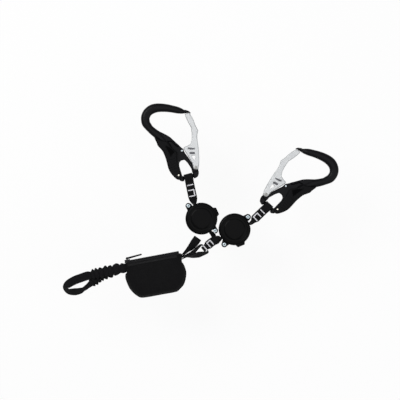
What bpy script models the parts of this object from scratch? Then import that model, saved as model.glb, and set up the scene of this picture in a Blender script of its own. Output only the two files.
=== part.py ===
"""A via ferrata lanyard laid out flat: two palm-lock carabiners on webbing arms, each arm running
through a round spring retractor case, joined in a sewn trunk that is linked to the end loop of an
energy absorber in a zipped pouch, with a tie-in loop in gathered elastic sleeves at the other end.
Metres, +Z up. The lanyard lies on the plane z = 0 with its box centred on the origin."""

import math

import bmesh
import bpy
from mathutils import Matrix, Vector

# Clearances
GAP = 0.0003
RUNNING_GAP = 0.0004
CUT_OVERRUN = 0.002

# Webbing
WEB_WIDTH = 0.0135
WEB_THICK = 0.0015
WEB_STEP = 0.003
TACK_THREAD = 0.0018
TACK_RISE = 0.0006
TACK_LENGTH = 0.0096
LEFT_BARS = (0.0131, 0.0305, 0.0212)
RIGHT_BARS = (0.0121, 0.0280, 0.0196)

# Where the arms lie
LEFT_CASE_X = 0.0022
LEFT_CASE_Y = -0.0288
CASE_BEARING = math.radians(-17.9)
LEFT_EXIT_ANGLE = math.radians(115.4)
RIGHT_EXIT_ANGLE = math.radians(22.0)
LEFT_ARM_ANGLE = math.radians(101.8)
RIGHT_ARM_ANGLE = math.radians(44.0)
LEFT_ARM_LENGTH = 0.0408
RIGHT_ARM_LENGTH = 0.0368
LEFT_CARABINER_ANGLE = math.radians(14.9)
RIGHT_CARABINER_ANGLE = math.radians(-42.5)

# Retractor case
CASE_RADIUS = 0.0248
CASE_WALL = 0.0020
ROLL_ROOM = 0.0010
CASE_HEIGHT = WEB_WIDTH + 2 * (CASE_WALL + ROLL_ROOM)
CASE_EDGE = 0.0028
CASE_SIDES = 38
MOUTH_WIDTH = 0.0086
TRUNK_MOUTH_ANGLE = math.radians(190)
WEB_BEND_OUT = 0.0028
WEB_BEND_REACH = CASE_RADIUS + WEB_BEND_OUT
EAR_OUT = 0.0034
EAR_REACH = CASE_RADIUS + EAR_OUT
EAR_RADIUS = 0.0046
LEFT_EAR_ANGLES = (math.radians(20.2), math.radians(203.2))
RIGHT_EAR_ANGLES = (math.radians(20.8), math.radians(214.0))
EAR_INSET = 0.0042
EAR_TO_CASE = 0.0008
LUG_WIDTH = 0.0160
LUG_OUT = 0.0030
LUG_INSET = 0.0050
SCREW_RADIUS = 0.0015
SCREW_HEAD_RADIUS = 0.0029
SCREW_HEAD_HEIGHT = 0.0014
SCREW_SOCKET_RADIUS = 0.0013

# Drum, axle, clock spring and stored web
DRUM_RADIUS = 0.0110
DRUM_WALL = 0.0014
DRUM_FLOOR = 0.0012
AXLE_RADIUS = 0.0025
SPRING_STRIP = 0.0004
SPRING_WIDTH = 0.0090
SPRING_TURNS = 3
ROLL_SPACE = 0.0038
STORED_WEB_RADIUS = CASE_RADIUS - CASE_WALL - ROLL_SPACE

# Carabiner
CARABINER_LENGTH = 0.1228
SPINE_THICK = 0.0116
PLATE_THICK = 0.0046
BASE_THICK = 0.0104
BASE_EDGE = 0.0016
CROSSBAR_RADIUS = 0.0030
GATE_THICK = 0.0098
GATE_EDGE = 0.0011
GATE_FORK = 0.0052
GATE_RECESS = 0.0014
LEVER_THICK = 0.0164
LEVER_EDGE = 0.0018
RIVET_RADIUS = 0.0018
RIVET_HEAD_RADIUS = 0.0025
RIVET_HEAD_HEIGHT = 0.0005
LEVER_PIN_RADIUS = 0.0012
PAWL_PIN_RADIUS = CARABINER_LENGTH * 0.0122 - GAP
PAWL_THICK = 0.0016
BRACE_THICK = 0.0090

# Trunk and its link with the absorber's end loop
TRUNK_ANGLE = math.radians(40.7)
TRUNK_FROM_MOUTH_X = -0.02335
TRUNK_FROM_MOUTH_Y = -0.01449
TRUNK_LENGTH = 0.0204
TRUNK_BARS = (-0.0014, 0.0054, 0.0118)
LINK_BACK = 0.0014
LINK_RADIUS = 0.0041
LINK_WIDTH = 0.0086
LINK_STRAND = 0.0048
LINK_THICK = 0.0022
BRANCH_BEND_WIDTH = 0.0076
BRANCH_BEND_RADIUS = 0.0070

# Pouch
POUCH_X = -0.0698
POUCH_Y = -0.1147
POUCH_ANGLE = math.radians(10.5)
POUCH_LENGTH = 0.0930
POUCH_HEIGHT = 0.0610
POUCH_THICK = 0.0260
POUCH_CLOTH = 0.0012
SEAM_LEVEL = 0.0125
MOUTH_RISE = 0.0042
MOUTH_DROP = 0.0100
ZIP_LINE = 0.0275
ZIP_TAPE_WIDTH = 0.0090
ZIP_TAPE_THICK = 0.0008
ZIP_COIL_RADIUS = 0.0013
ZIP_LENGTH = 0.0852
SLIDER_LENGTH = 0.0085
SLIDER_WALL = 0.0008
TAB_LENGTH = 0.0228
TAB_WIDTH = 0.0056
TAB_THICK = 0.0018
TAB_ANGLE = math.radians(5.0)
ABSORBER_LENGTH = 0.0600
ABSORBER_WIDTH = 0.0230
ABSORBER_LIFT = 0.0020
ABSORBER_LAYERS = 6
ABSORBER_WEB = 0.0016
BAND_WIDTH = 0.0120
BAND_THICK = 0.0008

# Loops
REST_LOOP_REACH = 0.0340
REST_LOOP_WIDTH = 0.0124
SLEEVE_HALF_WIDTH = 0.0064
SLEEVE_HALF_HEIGHT = 0.0030
SLEEVE_RIB = 0.0010
SLEEVE_BORE_WIDTH = 0.0057
SLEEVE_BORE_HEIGHT = 0.0019
SLEEVE_RIB_PITCH = 0.0074
SLEEVE_SIDES = 12
GATHERED_WEB_WIDTH = 0.0094
TIE_IN_REACH = 0.1000

# The lanyard's place
LANYARD_X = -0.00045
LANYARD_Y = 0.00065
LANYARD_Z = 0

COLOURS = {
    "webbing": ((0.014, 0.014, 0.015), 0.85, 0.0),
    "thread": ((0.80, 0.80, 0.83), 0.6, 0.0),
    "pouch_fabric": ((0.012, 0.012, 0.014), 0.7, 0.0),
    "elastic": ((0.010, 0.010, 0.011), 0.9, 0.0),
    "case_plastic": ((0.011, 0.011, 0.012), 0.25, 0.0),
    "lever_plastic": ((0.016, 0.016, 0.018), 0.45, 0.0),
    "black_anodised": ((0.016, 0.016, 0.018), 0.35, 0.8),
    "bare_aluminium": ((0.78, 0.78, 0.79), 0.38, 0.9),
    "steel": ((0.55, 0.60, 0.64), 0.3, 1.0),
    "zip_plastic": ((0.02, 0.02, 0.022), 0.3, 0.0),
}


def clear_scene():
    for thing in list(bpy.data.objects):
        bpy.data.objects.remove(thing, do_unlink=True)


def material(name):
    found = bpy.data.materials.get(name)
    if found:
        return found
    colour, roughness, metallic = COLOURS[name]
    made = bpy.data.materials.new(name)
    made.use_nodes = True
    shader = made.node_tree.nodes["Principled BSDF"]
    shader.inputs["Base Color"].default_value = (*colour, 1)
    shader.inputs["Roughness"].default_value = roughness
    shader.inputs["Metallic"].default_value = metallic
    return made


def empty(name, place, turn=(0, 0, 0), parent=None):
    made = bpy.data.objects.new(name, None)
    made.location = place
    made.rotation_euler = turn
    made.parent = parent
    bpy.context.scene.collection.objects.link(made)
    return made


def piece(name, bm, finish, parent, at=(0, 0, 0)):
    """An object from a mesh in its parent's frame, with its own origin at the point given."""
    bmesh.ops.translate(bm, verts=bm.verts, vec=-Vector(at))
    bmesh.ops.recalc_face_normals(bm, faces=bm.faces)
    if bm.calc_volume(signed=True) < 0:
        bmesh.ops.reverse_faces(bm, faces=bm.faces)
    mesh = bpy.data.meshes.new(name)
    bm.to_mesh(mesh)
    bm.free()
    mesh.shade_smooth()
    mesh.set_sharp_from_angle(angle=math.radians(35))
    made = bpy.data.objects.new(name, mesh)
    made.location = at
    made.parent = parent
    mesh.materials.append(material(finish))
    bpy.context.scene.collection.objects.link(made)
    return made


def combine(target, parts, operation):
    """Joins meshes to an object, or cuts them out of it; they are in its parent's frame."""
    for number, bm in enumerate(parts):
        tool = piece(f"{target.name}_{operation.lower()}_{number}", bm, "steel", target.parent)
        tool.hide_render = True
        tool.display_type = "WIRE"
        change = target.modifiers.new(tool.name, "BOOLEAN")
        change.operation = operation
        change.object = tool


def bridged(rings, closed=False):
    """A mesh through rings of as many points each, with flat ends or closed on its first ring."""
    bm = bmesh.new()
    made = [[bm.verts.new(point) for point in ring] for ring in rings]
    if closed:
        made.append(made[0])
    count = len(rings[0])
    for low, high in zip(made, made[1:]):
        for i in range(count):
            j = (i + 1) % count
            bm.faces.new((low[i], low[j], high[j], high[i]))
    if not closed:
        bm.faces.new(reversed(made[0]))
        bm.faces.new(made[-1])
    return bm


def inset(outline, depth):
    """The outline moved in by a depth; its points run anticlockwise."""
    moved = []
    count = len(outline)
    for i, point in enumerate(outline):
        here = Vector(point)
        before = (here - Vector(outline[i - 1])).normalized()
        after = (Vector(outline[(i + 1) % count]) - here).normalized()
        inward = Vector((-(before + after).y, (before + after).x)).normalized()
        spread = max(0.5, inward.dot(Vector((-before.y, before.x))))
        moved.append(here + inward * depth / spread)
    return moved


def slab(outline, low, high, edge=0):
    """A plate of the outline between two heights, with its edges cut at 45 degrees."""
    levels = [(low, 0), (high, 0)]
    if edge:
        levels = [(low, edge), (low + edge, 0), (high - edge, 0), (high, edge)]
    rings = []
    for height, depth in levels:
        ring = inset(outline, depth) if depth else [Vector(p) for p in outline]
        rings.append([(p.x, p.y, height) for p in ring])
    return bridged(rings)


def without_flat_points(outline, least):
    """The outline without the points that lie almost on the line between their neighbours."""
    kept = [Vector(point) for point in outline]
    i = 0
    while i < len(kept):
        before, here, after = kept[i - 1], kept[i], kept[(i + 1) % len(kept)]
        way = (after - before).normalized()
        if abs((here - before).cross(way)) < least:
            kept.pop(i)
        else:
            i += 1
    return kept


def rounded(outline, step_count=3):
    """A smooth closed outline through points."""
    return [
        curve_point([Vector((*p, 0)) for p in outline], i, k / step_count, True).to_2d()
        for i in range(len(outline))
        for k in range(step_count)
    ]


def curve_point(points, i, share, closed=False):
    """A point of the smooth curve through points, a share of the way from one to the next."""
    count = len(points)

    def pick(j):
        return points[j % count] if closed else points[min(max(j, 0), count - 1)]

    a, b, c, d = pick(i - 1), pick(i), pick(i + 1), pick(i + 2)
    return b + share * (
        (c - a) / 2
        + share * ((2 * a - 5 * b + 4 * c - d) / 2 + share * (3 * (b - c) + d - a) / 2)
    )


def disc(radius, sides, centre=(0, 0), start=0.0, turn=math.tau):
    full = abs(turn - math.tau) < math.radians(1)
    steps = sides if full else sides - 1
    return [
        (
            centre[0] + radius * math.cos(start + turn * i / steps),
            centre[1] + radius * math.sin(start + turn * i / steps),
        )
        for i in range(sides)
    ]


def turned(profile, sides):
    """A solid or a ring turned about the z axis from a closed profile of (radius, height)."""
    bm = bmesh.new()
    rings = []
    for radius, height in profile:
        if radius == 0:
            rings.append([bm.verts.new((0, 0, height))] * sides)
            continue
        ring = [bm.verts.new((x, y, height)) for x, y in disc(radius, sides)]
        rings.append(ring)
    for low, high in zip(rings, rings[1:] + rings[:1]):
        for i in range(sides):
            j = (i + 1) % sides
            corners = [low[i], low[j], high[j], high[i]]
            corners = list(dict.fromkeys(corners))
            if len(corners) > 2:
                bm.faces.new(corners)
    return bm


def box(low, high):
    outline = [(low[0], low[1]), (high[0], low[1]), (high[0], high[1]), (low[0], high[1])]
    return slab(outline, low[2], high[2])


def cylinder(radius, low, high, centre=(0, 0), sides=16):
    return slab(disc(radius, sides, centre), low, high)


class Station:
    """A place on a strap: its centre, the direction of its width, its width and its thickness."""

    def __init__(self, place, side, width=WEB_WIDTH, thick=WEB_THICK):
        self.place = Vector(place)
        self.side = Vector(side)
        self.width = width
        self.thick = thick


def smooth_stations(stations, step=WEB_STEP):
    """Stations about a step apart on the smooth curve through the given ones."""
    places = [s.place for s in stations]
    made = []
    for i in range(len(stations) - 1):
        one, two = stations[i], stations[i + 1]
        cuts = max(1, round((two.place - one.place).length / step))
        for k in range(cuts):
            share = k / cuts
            made.append(Station(
                curve_point(places, i, share),
                one.side.lerp(two.side, share),
                one.width + (two.width - one.width) * share,
                one.thick + (two.thick - one.thick) * share,
            ))
    made.append(stations[-1])
    return made


def frames(stations):
    """Each station with its forward, side and face directions at right angles."""
    for i, station in enumerate(stations):
        before = stations[max(i - 1, 0)].place
        after = stations[min(i + 1, len(stations) - 1)].place
        ahead = (after - before).normalized()
        side = (station.side - ahead * station.side.dot(ahead)).normalized()
        yield station, ahead, side, ahead.cross(side)


def strap(stations, step=WEB_STEP):
    """A flat web through stations."""
    rings = []
    for station, _, side, face in frames(smooth_stations(stations, step)):
        wide = side * station.width / 2
        deep = face * station.thick / 2
        rings.append([
            station.place + wide + deep,
            station.place - wide + deep,
            station.place - wide - deep,
            station.place + wide - deep,
        ])
    return bridged(rings)


def hairpin(route, offsets, returns, arc_steps=6):
    """A strap laid along a route, round its last station and back, at offsets from the route."""
    framed = list(frames(route))
    out = [
        Station(s.place + face * offset, side, s.width, s.thick)
        for (s, _, side, face), offset in zip(framed, offsets)
    ]
    end, ahead, side, face = framed[-1]
    radius = (offsets[-1] - returns[-1]) / 2
    middle = end.place + face * (offsets[-1] + returns[-1]) / 2
    turn = [
        Station(middle + radius * (math.cos(a) * face + math.sin(a) * ahead), side,
                end.width, end.thick)
        for a in (math.pi * k / arc_steps for k in range(1, arc_steps))
    ]
    back = [
        Station(s.place + face * offset, side, s.width, s.thick)
        for (s, _, side, face), offset in zip(framed[-len(returns):], returns)
    ]
    return out + turn + back[::-1]


def heading(angle):
    return Vector((math.cos(angle), math.sin(angle), 0))


def across(angle):
    return Vector((-math.sin(angle), math.cos(angle), 0))


def tilted(angle, roll):
    """The width direction of a web that runs at an angle and leans by roll from flat."""
    return across(angle) * math.cos(roll) + Vector((0, 0, math.sin(roll)))


UPRIGHT = math.radians(90)
CASE_MID = CASE_HEIGHT / 2
MOUTH_HEIGHT = CASE_HEIGHT - 2 * (CASE_WALL + GAP)
CARABINER_MID = LEVER_THICK / 2
LINK_LEVEL = CASE_MID
WEB_TURN_RADIUS = CROSSBAR_RADIUS + RUNNING_GAP + WEB_THICK / 2
LAYER = (WEB_THICK + GAP) / 2


def case_spacing():
    """The distance between the case centres that leaves the ear's gap to the other case."""
    ear = LEFT_EXIT_ANGLE + LEFT_EAR_ANGLES[1] - CASE_BEARING
    reach = CASE_RADIUS + EAR_RADIUS + EAR_TO_CASE
    return EAR_REACH * math.cos(ear) + math.sqrt(reach**2 - (EAR_REACH * math.sin(ear)) ** 2)


LEFT_CASE = Vector((LEFT_CASE_X, LEFT_CASE_Y, 0))
RIGHT_CASE = LEFT_CASE + case_spacing() * heading(CASE_BEARING)


# Retractor case

def ear_outline(angle):
    centre = heading(angle) * EAR_REACH
    tip = disc(EAR_RADIUS, 11, centre, angle - math.pi / 2, math.pi)
    root = heading(angle) * (CASE_RADIUS - CASE_WALL)
    side = across(angle) * (EAR_RADIUS + CASE_WALL)
    return tip + [(root + side).to_2d(), (root - side).to_2d()]


def lug_outline():
    inner = CASE_RADIUS - CASE_WALL
    outer = CASE_RADIUS + LUG_OUT
    half = LUG_WIDTH / 2
    slope = LUG_OUT * 0.8
    return [(-half, -inner), (-half + slope, -outer), (half - slope, -outer), (half, -inner)]


def mouth_box(angle):
    """The cut for a mouth, which also trims the side of an ear beside it."""
    half = MOUTH_WIDTH / 2
    low = CASE_MID - MOUTH_HEIGHT / 2
    bm = box((CASE_RADIUS - CASE_WALL - CUT_OVERRUN, -half, low),
             (EAR_REACH + EAR_RADIUS + CUT_OVERRUN, half, low + MOUTH_HEIGHT))
    bmesh.ops.rotate(bm, verts=bm.verts, matrix=Matrix.Rotation(angle, 3, "Z"))
    return bm


def case_shell(name, parent, ears, upper):
    """One half of the case: a round cup with its share of the ears, the lug and the mouths."""
    seam = CASE_MID - GAP / 2
    wall = CASE_RADIUS - CASE_WALL
    cup = [
        (0, 0),
        (CASE_RADIUS - CASE_EDGE, 0),
        (CASE_RADIUS - CASE_EDGE / 3, CASE_EDGE / 3),
        (CASE_RADIUS, CASE_EDGE),
        (CASE_RADIUS, seam),
        (wall, seam),
        (wall, CASE_WALL),
        (0, CASE_WALL),
    ]
    ear_low = EAR_INSET
    parts = [slab(ear_outline(angle), ear_low, seam) for angle in ears]
    parts.append(slab(lug_outline(), LUG_INSET, seam))
    inner = CASE_RADIUS - CASE_WALL
    hollow = cylinder(inner, CASE_WALL, seam + CUT_OVERRUN, sides=CASE_SIDES)
    cuts = [hollow, mouth_box(0), mouth_box(TRUNK_MOUTH_ANGLE)]
    for angle in ears:
        centre = heading(angle) * EAR_REACH
        cuts.append(cylinder(SCREW_RADIUS + GAP, ear_low - CUT_OVERRUN, seam + CUT_OVERRUN,
                             centre, 12))
    meshes = [turned(cup, CASE_SIDES), *parts, *cuts]
    if upper:
        for bm in meshes:
            bmesh.ops.scale(bm, vec=(1, 1, -1), verts=bm.verts)
            bmesh.ops.translate(bm, vec=(0, 0, CASE_HEIGHT), verts=bm.verts)
    shell = piece(name, meshes[0], "case_plastic", parent)
    combine(shell, meshes[1:4], "UNION")
    combine(shell, meshes[4:], "DIFFERENCE")
    return shell


def case_screw(name, parent, angle):
    """A socket-head screw through both halves of an ear."""
    top = CASE_HEIGHT - EAR_INSET + GAP
    low = EAR_INSET
    socket = SCREW_HEAD_HEIGHT * 0.6
    profile = [
        (0, low),
        (SCREW_RADIUS, low),
        (SCREW_RADIUS, top),
        (SCREW_HEAD_RADIUS, top),
        (SCREW_HEAD_RADIUS, top + SCREW_HEAD_HEIGHT * 0.7),
        (SCREW_HEAD_RADIUS * 0.85, top + SCREW_HEAD_HEIGHT),
        (SCREW_SOCKET_RADIUS, top + SCREW_HEAD_HEIGHT),
        (SCREW_SOCKET_RADIUS, top + SCREW_HEAD_HEIGHT - socket),
        (0, top + SCREW_HEAD_HEIGHT - socket),
    ]
    bm = turned(profile, 14)
    centre = heading(angle) * EAR_REACH
    bmesh.ops.translate(bm, vec=centre, verts=bm.verts)
    piece(name, bm, "steel", parent, centre)


def clock_spring(name, parent):
    """A flat strip wound between the axle and the drum's wall."""
    inner = AXLE_RADIUS + GAP + SPRING_STRIP
    outer = DRUM_RADIUS - DRUM_WALL - GAP - SPRING_STRIP
    per_turn = 16
    count = SPRING_TURNS * per_turn
    low = CASE_WALL + 2 * GAP + DRUM_FLOOR
    rings = []
    for i in range(count + 1):
        radius = inner + (outer - inner) * i / count
        out = heading(math.tau * i / per_turn)
        near, far = out * radius, out * (radius + SPRING_STRIP)
        lift = Vector((0, 0, low))
        rise = Vector((0, 0, low + SPRING_WIDTH))
        rings.append([near + lift, far + lift, far + rise, near + rise])
    piece(name, bridged(rings), "steel", parent)


def retractor(side, parent, ears):
    """The two shells, their screws, and the drum with its axle, spring and stored web."""
    case_shell(f"{side}_case_lower_shell", parent, ears, False)
    case_shell(f"{side}_case_upper_shell", parent, ears, True)
    case_screw(f"{side}_case_screw_a", parent, ears[0])
    case_screw(f"{side}_case_screw_b", parent, ears[1])
    floor = CASE_WALL + GAP
    ceiling = CASE_HEIGHT - CASE_WALL - GAP
    axle = cylinder(AXLE_RADIUS, floor, ceiling)
    piece(f"{side}_drum_axle", axle, "steel", parent)
    bore = AXLE_RADIUS + GAP
    wall = DRUM_RADIUS - DRUM_WALL
    drum = turned([
        (bore, floor), (DRUM_RADIUS, floor), (DRUM_RADIUS, ceiling),
        (wall, ceiling), (wall, floor + DRUM_FLOOR), (bore, floor + DRUM_FLOOR),
    ], 28)
    piece(f"{side}_drum", drum, "case_plastic", parent)
    clock_spring(f"{side}_clock_spring", parent)
    half = WEB_WIDTH / 2
    stored = turned([
        (DRUM_RADIUS + GAP, CASE_MID - half), (STORED_WEB_RADIUS, CASE_MID - half),
        (STORED_WEB_RADIUS, CASE_MID + half), (DRUM_RADIUS + GAP, CASE_MID + half),
    ], 28)
    piece(f"{side}_stored_web", stored, "webbing", parent)


# Carabiner. Its frame has the crossbar's centre at the origin, +y towards the loop and +x
# towards the gate. All shares are of the carabiner's length.

LOOP_SHARES = (
    # centre x, centre y, half width, half height as a share of the spine's
    (0.1680, 0.8010, 0.0185, 0.45),
    (0.1400, 0.8160, 0.0300, 0.62),
    (0.0855, 0.8469, 0.0405, 0.93),
    (0.0220, 0.8795, 0.0440, 1.0),
    (-0.035, 0.9055, 0.0476, 1.0),
    (-0.099, 0.9283, 0.0513, 1.0),
    (-0.1645, 0.9430, 0.0546, 1.0),
    (-0.220, 0.9430, 0.0570, 1.0),
    (-0.271, 0.9270, 0.0554, 1.0),
    (-0.309, 0.8982, 0.0550, 1.0),
    (-0.336, 0.8550, 0.0530, 1.0),
    (-0.3440, 0.7940, 0.0520, 1.0),
    (-0.3270, 0.7425, 0.0480, 1.0),
    (-0.3125, 0.7110, 0.0445, 1.0),
    (-0.2830, 0.6645, 0.0475, 1.0),
    (-0.2550, 0.6280, 0.0515, 1.0),
    (-0.2256, 0.5895, 0.0570, 1.0),
    (-0.1830, 0.5170, 0.0380, 1.0),
    (-0.1500, 0.4400, 0.0380, 1.0),
    (-0.1300, 0.3480, 0.0380, 1.0),
    (-0.1210, 0.2440, 0.0360, 1.0),
    (-0.1160, 0.1470, 0.0340, 1.0),
    (-0.1130, 0.0480, 0.0330, 1.0),
)
NOSE_LIP_SHARES = (
    (0.205, 0.7900), (0.2265, 0.7640), (0.2330, 0.7640), (0.2335, 0.7780),
    (0.2200, 0.8000), (0.1800, 0.8280), (0.1650, 0.8180), (0.1850, 0.8020),
)
GATE_SHARES = (
    (0.1195, 0.0620), (0.1360, 0.0600), (0.1500, 0.0700), (0.1680, 0.1050), (0.1897, 0.1783),
    (0.2093, 0.2671), (0.2230, 0.3500), (0.2288, 0.4121), (0.2400, 0.4700), (0.2540, 0.5020),
    (0.2695, 0.5318), (0.2630, 0.5620), (0.2533, 0.6116), (0.2500, 0.6600), (0.2419, 0.7077),
    (0.2290, 0.7500), (0.2142, 0.7770), (0.1900, 0.7780), (0.1596, 0.7730), (0.1600, 0.7350),
    (0.1686, 0.6816), (0.1800, 0.6350), (0.1914, 0.5904), (0.1870, 0.5600), (0.1780, 0.5000),
    (0.1604, 0.4389), (0.1295, 0.3917), (0.0850, 0.3800), (0.0400, 0.3746), (0.0330, 0.3560),
    (0.0391, 0.3306), (0.0684, 0.2296), (0.0900, 0.1500), (0.0880, 0.0850), (0.1000, 0.0680),
)
GATE_PIVOT_SHARES = (0.1205, 0.0900)
FORK_SHARES = (
    (0.30, 0.02), (0.1550, 0.0900), (0.1560, 0.1500), (0.1180, 0.3050), (0.1080, 0.4000),
    (0.0300, 0.4200), (0.0000, 0.3400), (0.0600, 0.0200), (0.1200, -0.0200),
)
GATE_WINDOW_SHARES = ((0.1040, 0.2440), (0.1300, 0.1700), (0.1500, 0.2340), (0.1470, 0.2400))
GATE_SLOT_SHARES = (
    ((0.0900, 0.2720), (0.1520, 0.2520), (0.1580, 0.2750), (0.1500, 0.2820), (0.0930, 0.2940)),
    ((0.0830, 0.3400), (0.1200, 0.3220), (0.1700, 0.3140), (0.1730, 0.3260), (0.1300, 0.3420),
     (0.0900, 0.3560)),
)
PLATE_SHARES = (
    (-0.1150, 0.0480), (-0.0500, 0.0420), (0.0620, 0.0420), (0.1100, 0.0400), (0.1400, 0.0450),
    (0.1500, 0.0700), (0.1540, 0.0900), (0.1430, 0.1150), (0.1200, 0.1230), (0.1000, 0.1300),
    (0.0800, 0.1800), (0.0620, 0.2350), (0.0350, 0.3000), (0.0300, 0.3300), (0.0300, 0.3560),
    (0.0150, 0.3700), (-0.0326, 0.4454), (-0.0936, 0.5423), (-0.1327, 0.5831), (-0.1750, 0.5400),
    (-0.1400, 0.4200),
)
WINDOW_SHARES = (
    (-0.0725, 0.0270), (0.0590, 0.0270), (0.0620, 0.0900), (0.0342, 0.1730), (0.0120, 0.2120),
    (-0.0010, 0.2200), (-0.0375, 0.2200), (-0.0650, 0.2000), (-0.0760, 0.1650),
)
BRACE_SHARES = (
    (-0.0100, 0.4120), (-0.0320, 0.4454), (-0.0936, 0.5423), (-0.1327, 0.5831),
    (-0.1930, 0.6360), (-0.2300, 0.6600), (-0.2100, 0.5700), (-0.1500, 0.5000),
    (-0.0900, 0.4850), (-0.0480, 0.4120), (-0.0300, 0.3960),
)
RIGHT_CORNER_SHARES = (
    (0.0627, -0.0400), (0.0900, -0.0385), (0.1200, -0.0250), (0.1380, 0.0050), (0.1455, 0.0400),
    (0.1380, 0.0480), (0.1050, 0.0400), (0.0627, 0.0430),
)
LEFT_CORNER_SHARES = (
    (-0.0627, 0.0480), (-0.1000, 0.0600), (-0.1250, 0.0450), (-0.1300, 0.0050),
    (-0.1120, -0.0250), (-0.0900, -0.0385), (-0.0627, -0.0400),
)
LEVER_SHARES = (
    (-0.1645, 0.0252), (-0.1500, 0.0050), (-0.1270, -0.0080), (-0.1020, -0.0020),
    (-0.0850, 0.0200), (-0.0780, 0.0650), (-0.0840, 0.1661), (-0.0800, 0.2400),
    (-0.0680, 0.2950), (-0.0560, 0.3350), (-0.0800, 0.3700), (-0.1150, 0.4200),
    (-0.1401, 0.4967), (-0.1800, 0.5200), (-0.2300, 0.5500), (-0.2695, 0.5871),
    (-0.2900, 0.5750), (-0.2800, 0.5250), (-0.2744, 0.4796), (-0.2480, 0.4300),
    (-0.2288, 0.3827), (-0.2166, 0.2858), (-0.2182, 0.1735), (-0.2050, 0.1050),
    (-0.1800, 0.0500),
)
LEVER_POCKET_SHARES = (
    (-0.1450, 0.0000), (-0.0300, -0.0500), (0.0500, 0.3000), (-0.0500, 0.4500),
    (-0.1000, 0.7000), (-0.3700, 0.6500), (-0.3400, 0.5030), (-0.2520, 0.4920),
    (-0.2280, 0.4350), (-0.2080, 0.3850), (-0.1950, 0.2850), (-0.1960, 0.1750),
    (-0.1780, 0.1000), (-0.1560, 0.0400),
)
LEVER_PIVOT_SHARES = (-0.1130, 0.0500)
CATCH_SHARES = (0.0070, 0.3390)
PAWL_SHARES = (
    (0.0180, 0.3290), (0.0200, 0.3450), (0.0130, 0.3540), (-0.0020, 0.3520),
    (-0.0400, 0.3420), (-0.0520, 0.3350), (-0.0460, 0.3240), (-0.0020, 0.3270),
    (0.0090, 0.3230),
)

PAWL_ROOM_SHARE = 0.0130
CROSSBAR_REACH_SHARE = 0.0900

def at_share(pair):
    return (pair[0] * CARABINER_LENGTH, pair[1] * CARABINER_LENGTH)


def scaled(shares):
    return [at_share(pair) for pair in shares]


def loop_mesh():
    """The rod that forms the nose, the loop and the spine, of varying oval section."""
    places = [Vector((*at_share(s), 0)) for s in LOOP_SHARES]
    sides = 12
    rings = []
    for i, share in enumerate(LOOP_SHARES):
        ahead = places[min(i + 1, len(places) - 1)] - places[max(i - 1, 0)]
        out = Vector((ahead.y, -ahead.x, 0)).normalized()
        half = share[2] * CARABINER_LENGTH
        rise = share[3] * SPINE_THICK / 2
        ring = []
        for k in range(sides):
            a = math.tau * (k + 0.5) / sides
            flat = 0.82
            x = math.copysign(abs(math.cos(a)) ** flat, math.cos(a))
            z = math.copysign(abs(math.sin(a)) ** flat, math.sin(a))
            ring.append(places[i] + out * half * x + Vector((0, 0, rise * z)))
        rings.append(ring)
    return bridged(rings)


def carabiner_frame(name, parent):
    frame = piece(name, loop_mesh(), "black_anodised", parent)
    half = PLATE_THICK / 2
    base = BASE_THICK / 2
    bar = slab(disc(CROSSBAR_RADIUS, 14), *reach_between(CROSSBAR_REACH_SHARE))
    bmesh.ops.rotate(bar, verts=bar.verts, matrix=Matrix.Rotation(UPRIGHT, 3, "Y"))
    lip = PLATE_THICK * 0.4
    brace = BRACE_THICK / 2
    combine(frame, [
        slab(scaled(PLATE_SHARES), -half, half),
        slab(scaled(BRACE_SHARES), -brace, brace, GATE_EDGE),
        slab(scaled(RIGHT_CORNER_SHARES), -base, base, BASE_EDGE),
        slab(scaled(LEFT_CORNER_SHARES), -base, base, BASE_EDGE),
        bar,
        slab(scaled(NOSE_LIP_SHARES), -lip, lip),
    ], "UNION")
    pivot = at_share(GATE_PIVOT_SHARES)
    catch = at_share(CATCH_SHARES)
    lever = at_share(LEVER_PIVOT_SHARES)
    over = SPINE_THICK
    slot = PAWL_THICK / 2 + GAP
    combine(frame, [
        slab(scaled(WINDOW_SHARES), -over, over),
        slab(inset(scaled(PAWL_SHARES), -PAWL_ROOM_SHARE * CARABINER_LENGTH), -slot, slot),
        cylinder(RIVET_RADIUS + GAP, -over, over, pivot, 14),
        cylinder(PAWL_PIN_RADIUS + GAP, -over, over, catch, 12),
        cylinder(LEVER_PIN_RADIUS + GAP, -over, over, lever, 12),
    ], "DIFFERENCE")


def reach_between(share):
    return (-share * CARABINER_LENGTH, share * CARABINER_LENGTH)


def gate(name, parent):
    """The gate: solid above, a fork of two cheeks below that straddles the frame's plate."""
    pivot = at_share(GATE_PIVOT_SHARES)
    half = GATE_THICK / 2
    made = piece(name, slab(scaled(GATE_SHARES), -half, half, GATE_EDGE), "bare_aluminium",
                 parent, (*pivot, 0))
    fork = GATE_FORK / 2
    cuts = [
        slab(scaled(FORK_SHARES), -fork, fork),
        slab(scaled(GATE_WINDOW_SHARES), -half - CUT_OVERRUN, half + CUT_OVERRUN),
        cylinder(RIVET_RADIUS + GAP, -half - CUT_OVERRUN, half + CUT_OVERRUN, pivot, 14),
    ]
    for shares in GATE_SLOT_SHARES:
        cuts.append(slab(scaled(shares), half - GATE_RECESS, half + CUT_OVERRUN))
        cuts.append(slab(scaled(shares), -half - CUT_OVERRUN, GATE_RECESS - half))
    combine(made, cuts, "DIFFERENCE")


def palm_lever(name, parent):
    """The palm lever: a channel that wraps the spine from its outer side."""
    pivot = at_share(LEVER_PIVOT_SHARES)
    half = LEVER_THICK / 2
    outline = without_flat_points(rounded(scaled(LEVER_SHARES), 2), GAP / 2)
    made = piece(name, slab(outline, -half, half, LEVER_EDGE), "lever_plastic", parent,
                 (*pivot, 0))
    inner = SPINE_THICK / 2 + GAP
    combine(made, [
        slab(scaled(LEVER_POCKET_SHARES), -inner, inner),
        cylinder(LEVER_PIN_RADIUS + GAP, -half - CUT_OVERRUN, half + CUT_OVERRUN, pivot, 12),
    ], "DIFFERENCE")


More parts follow.
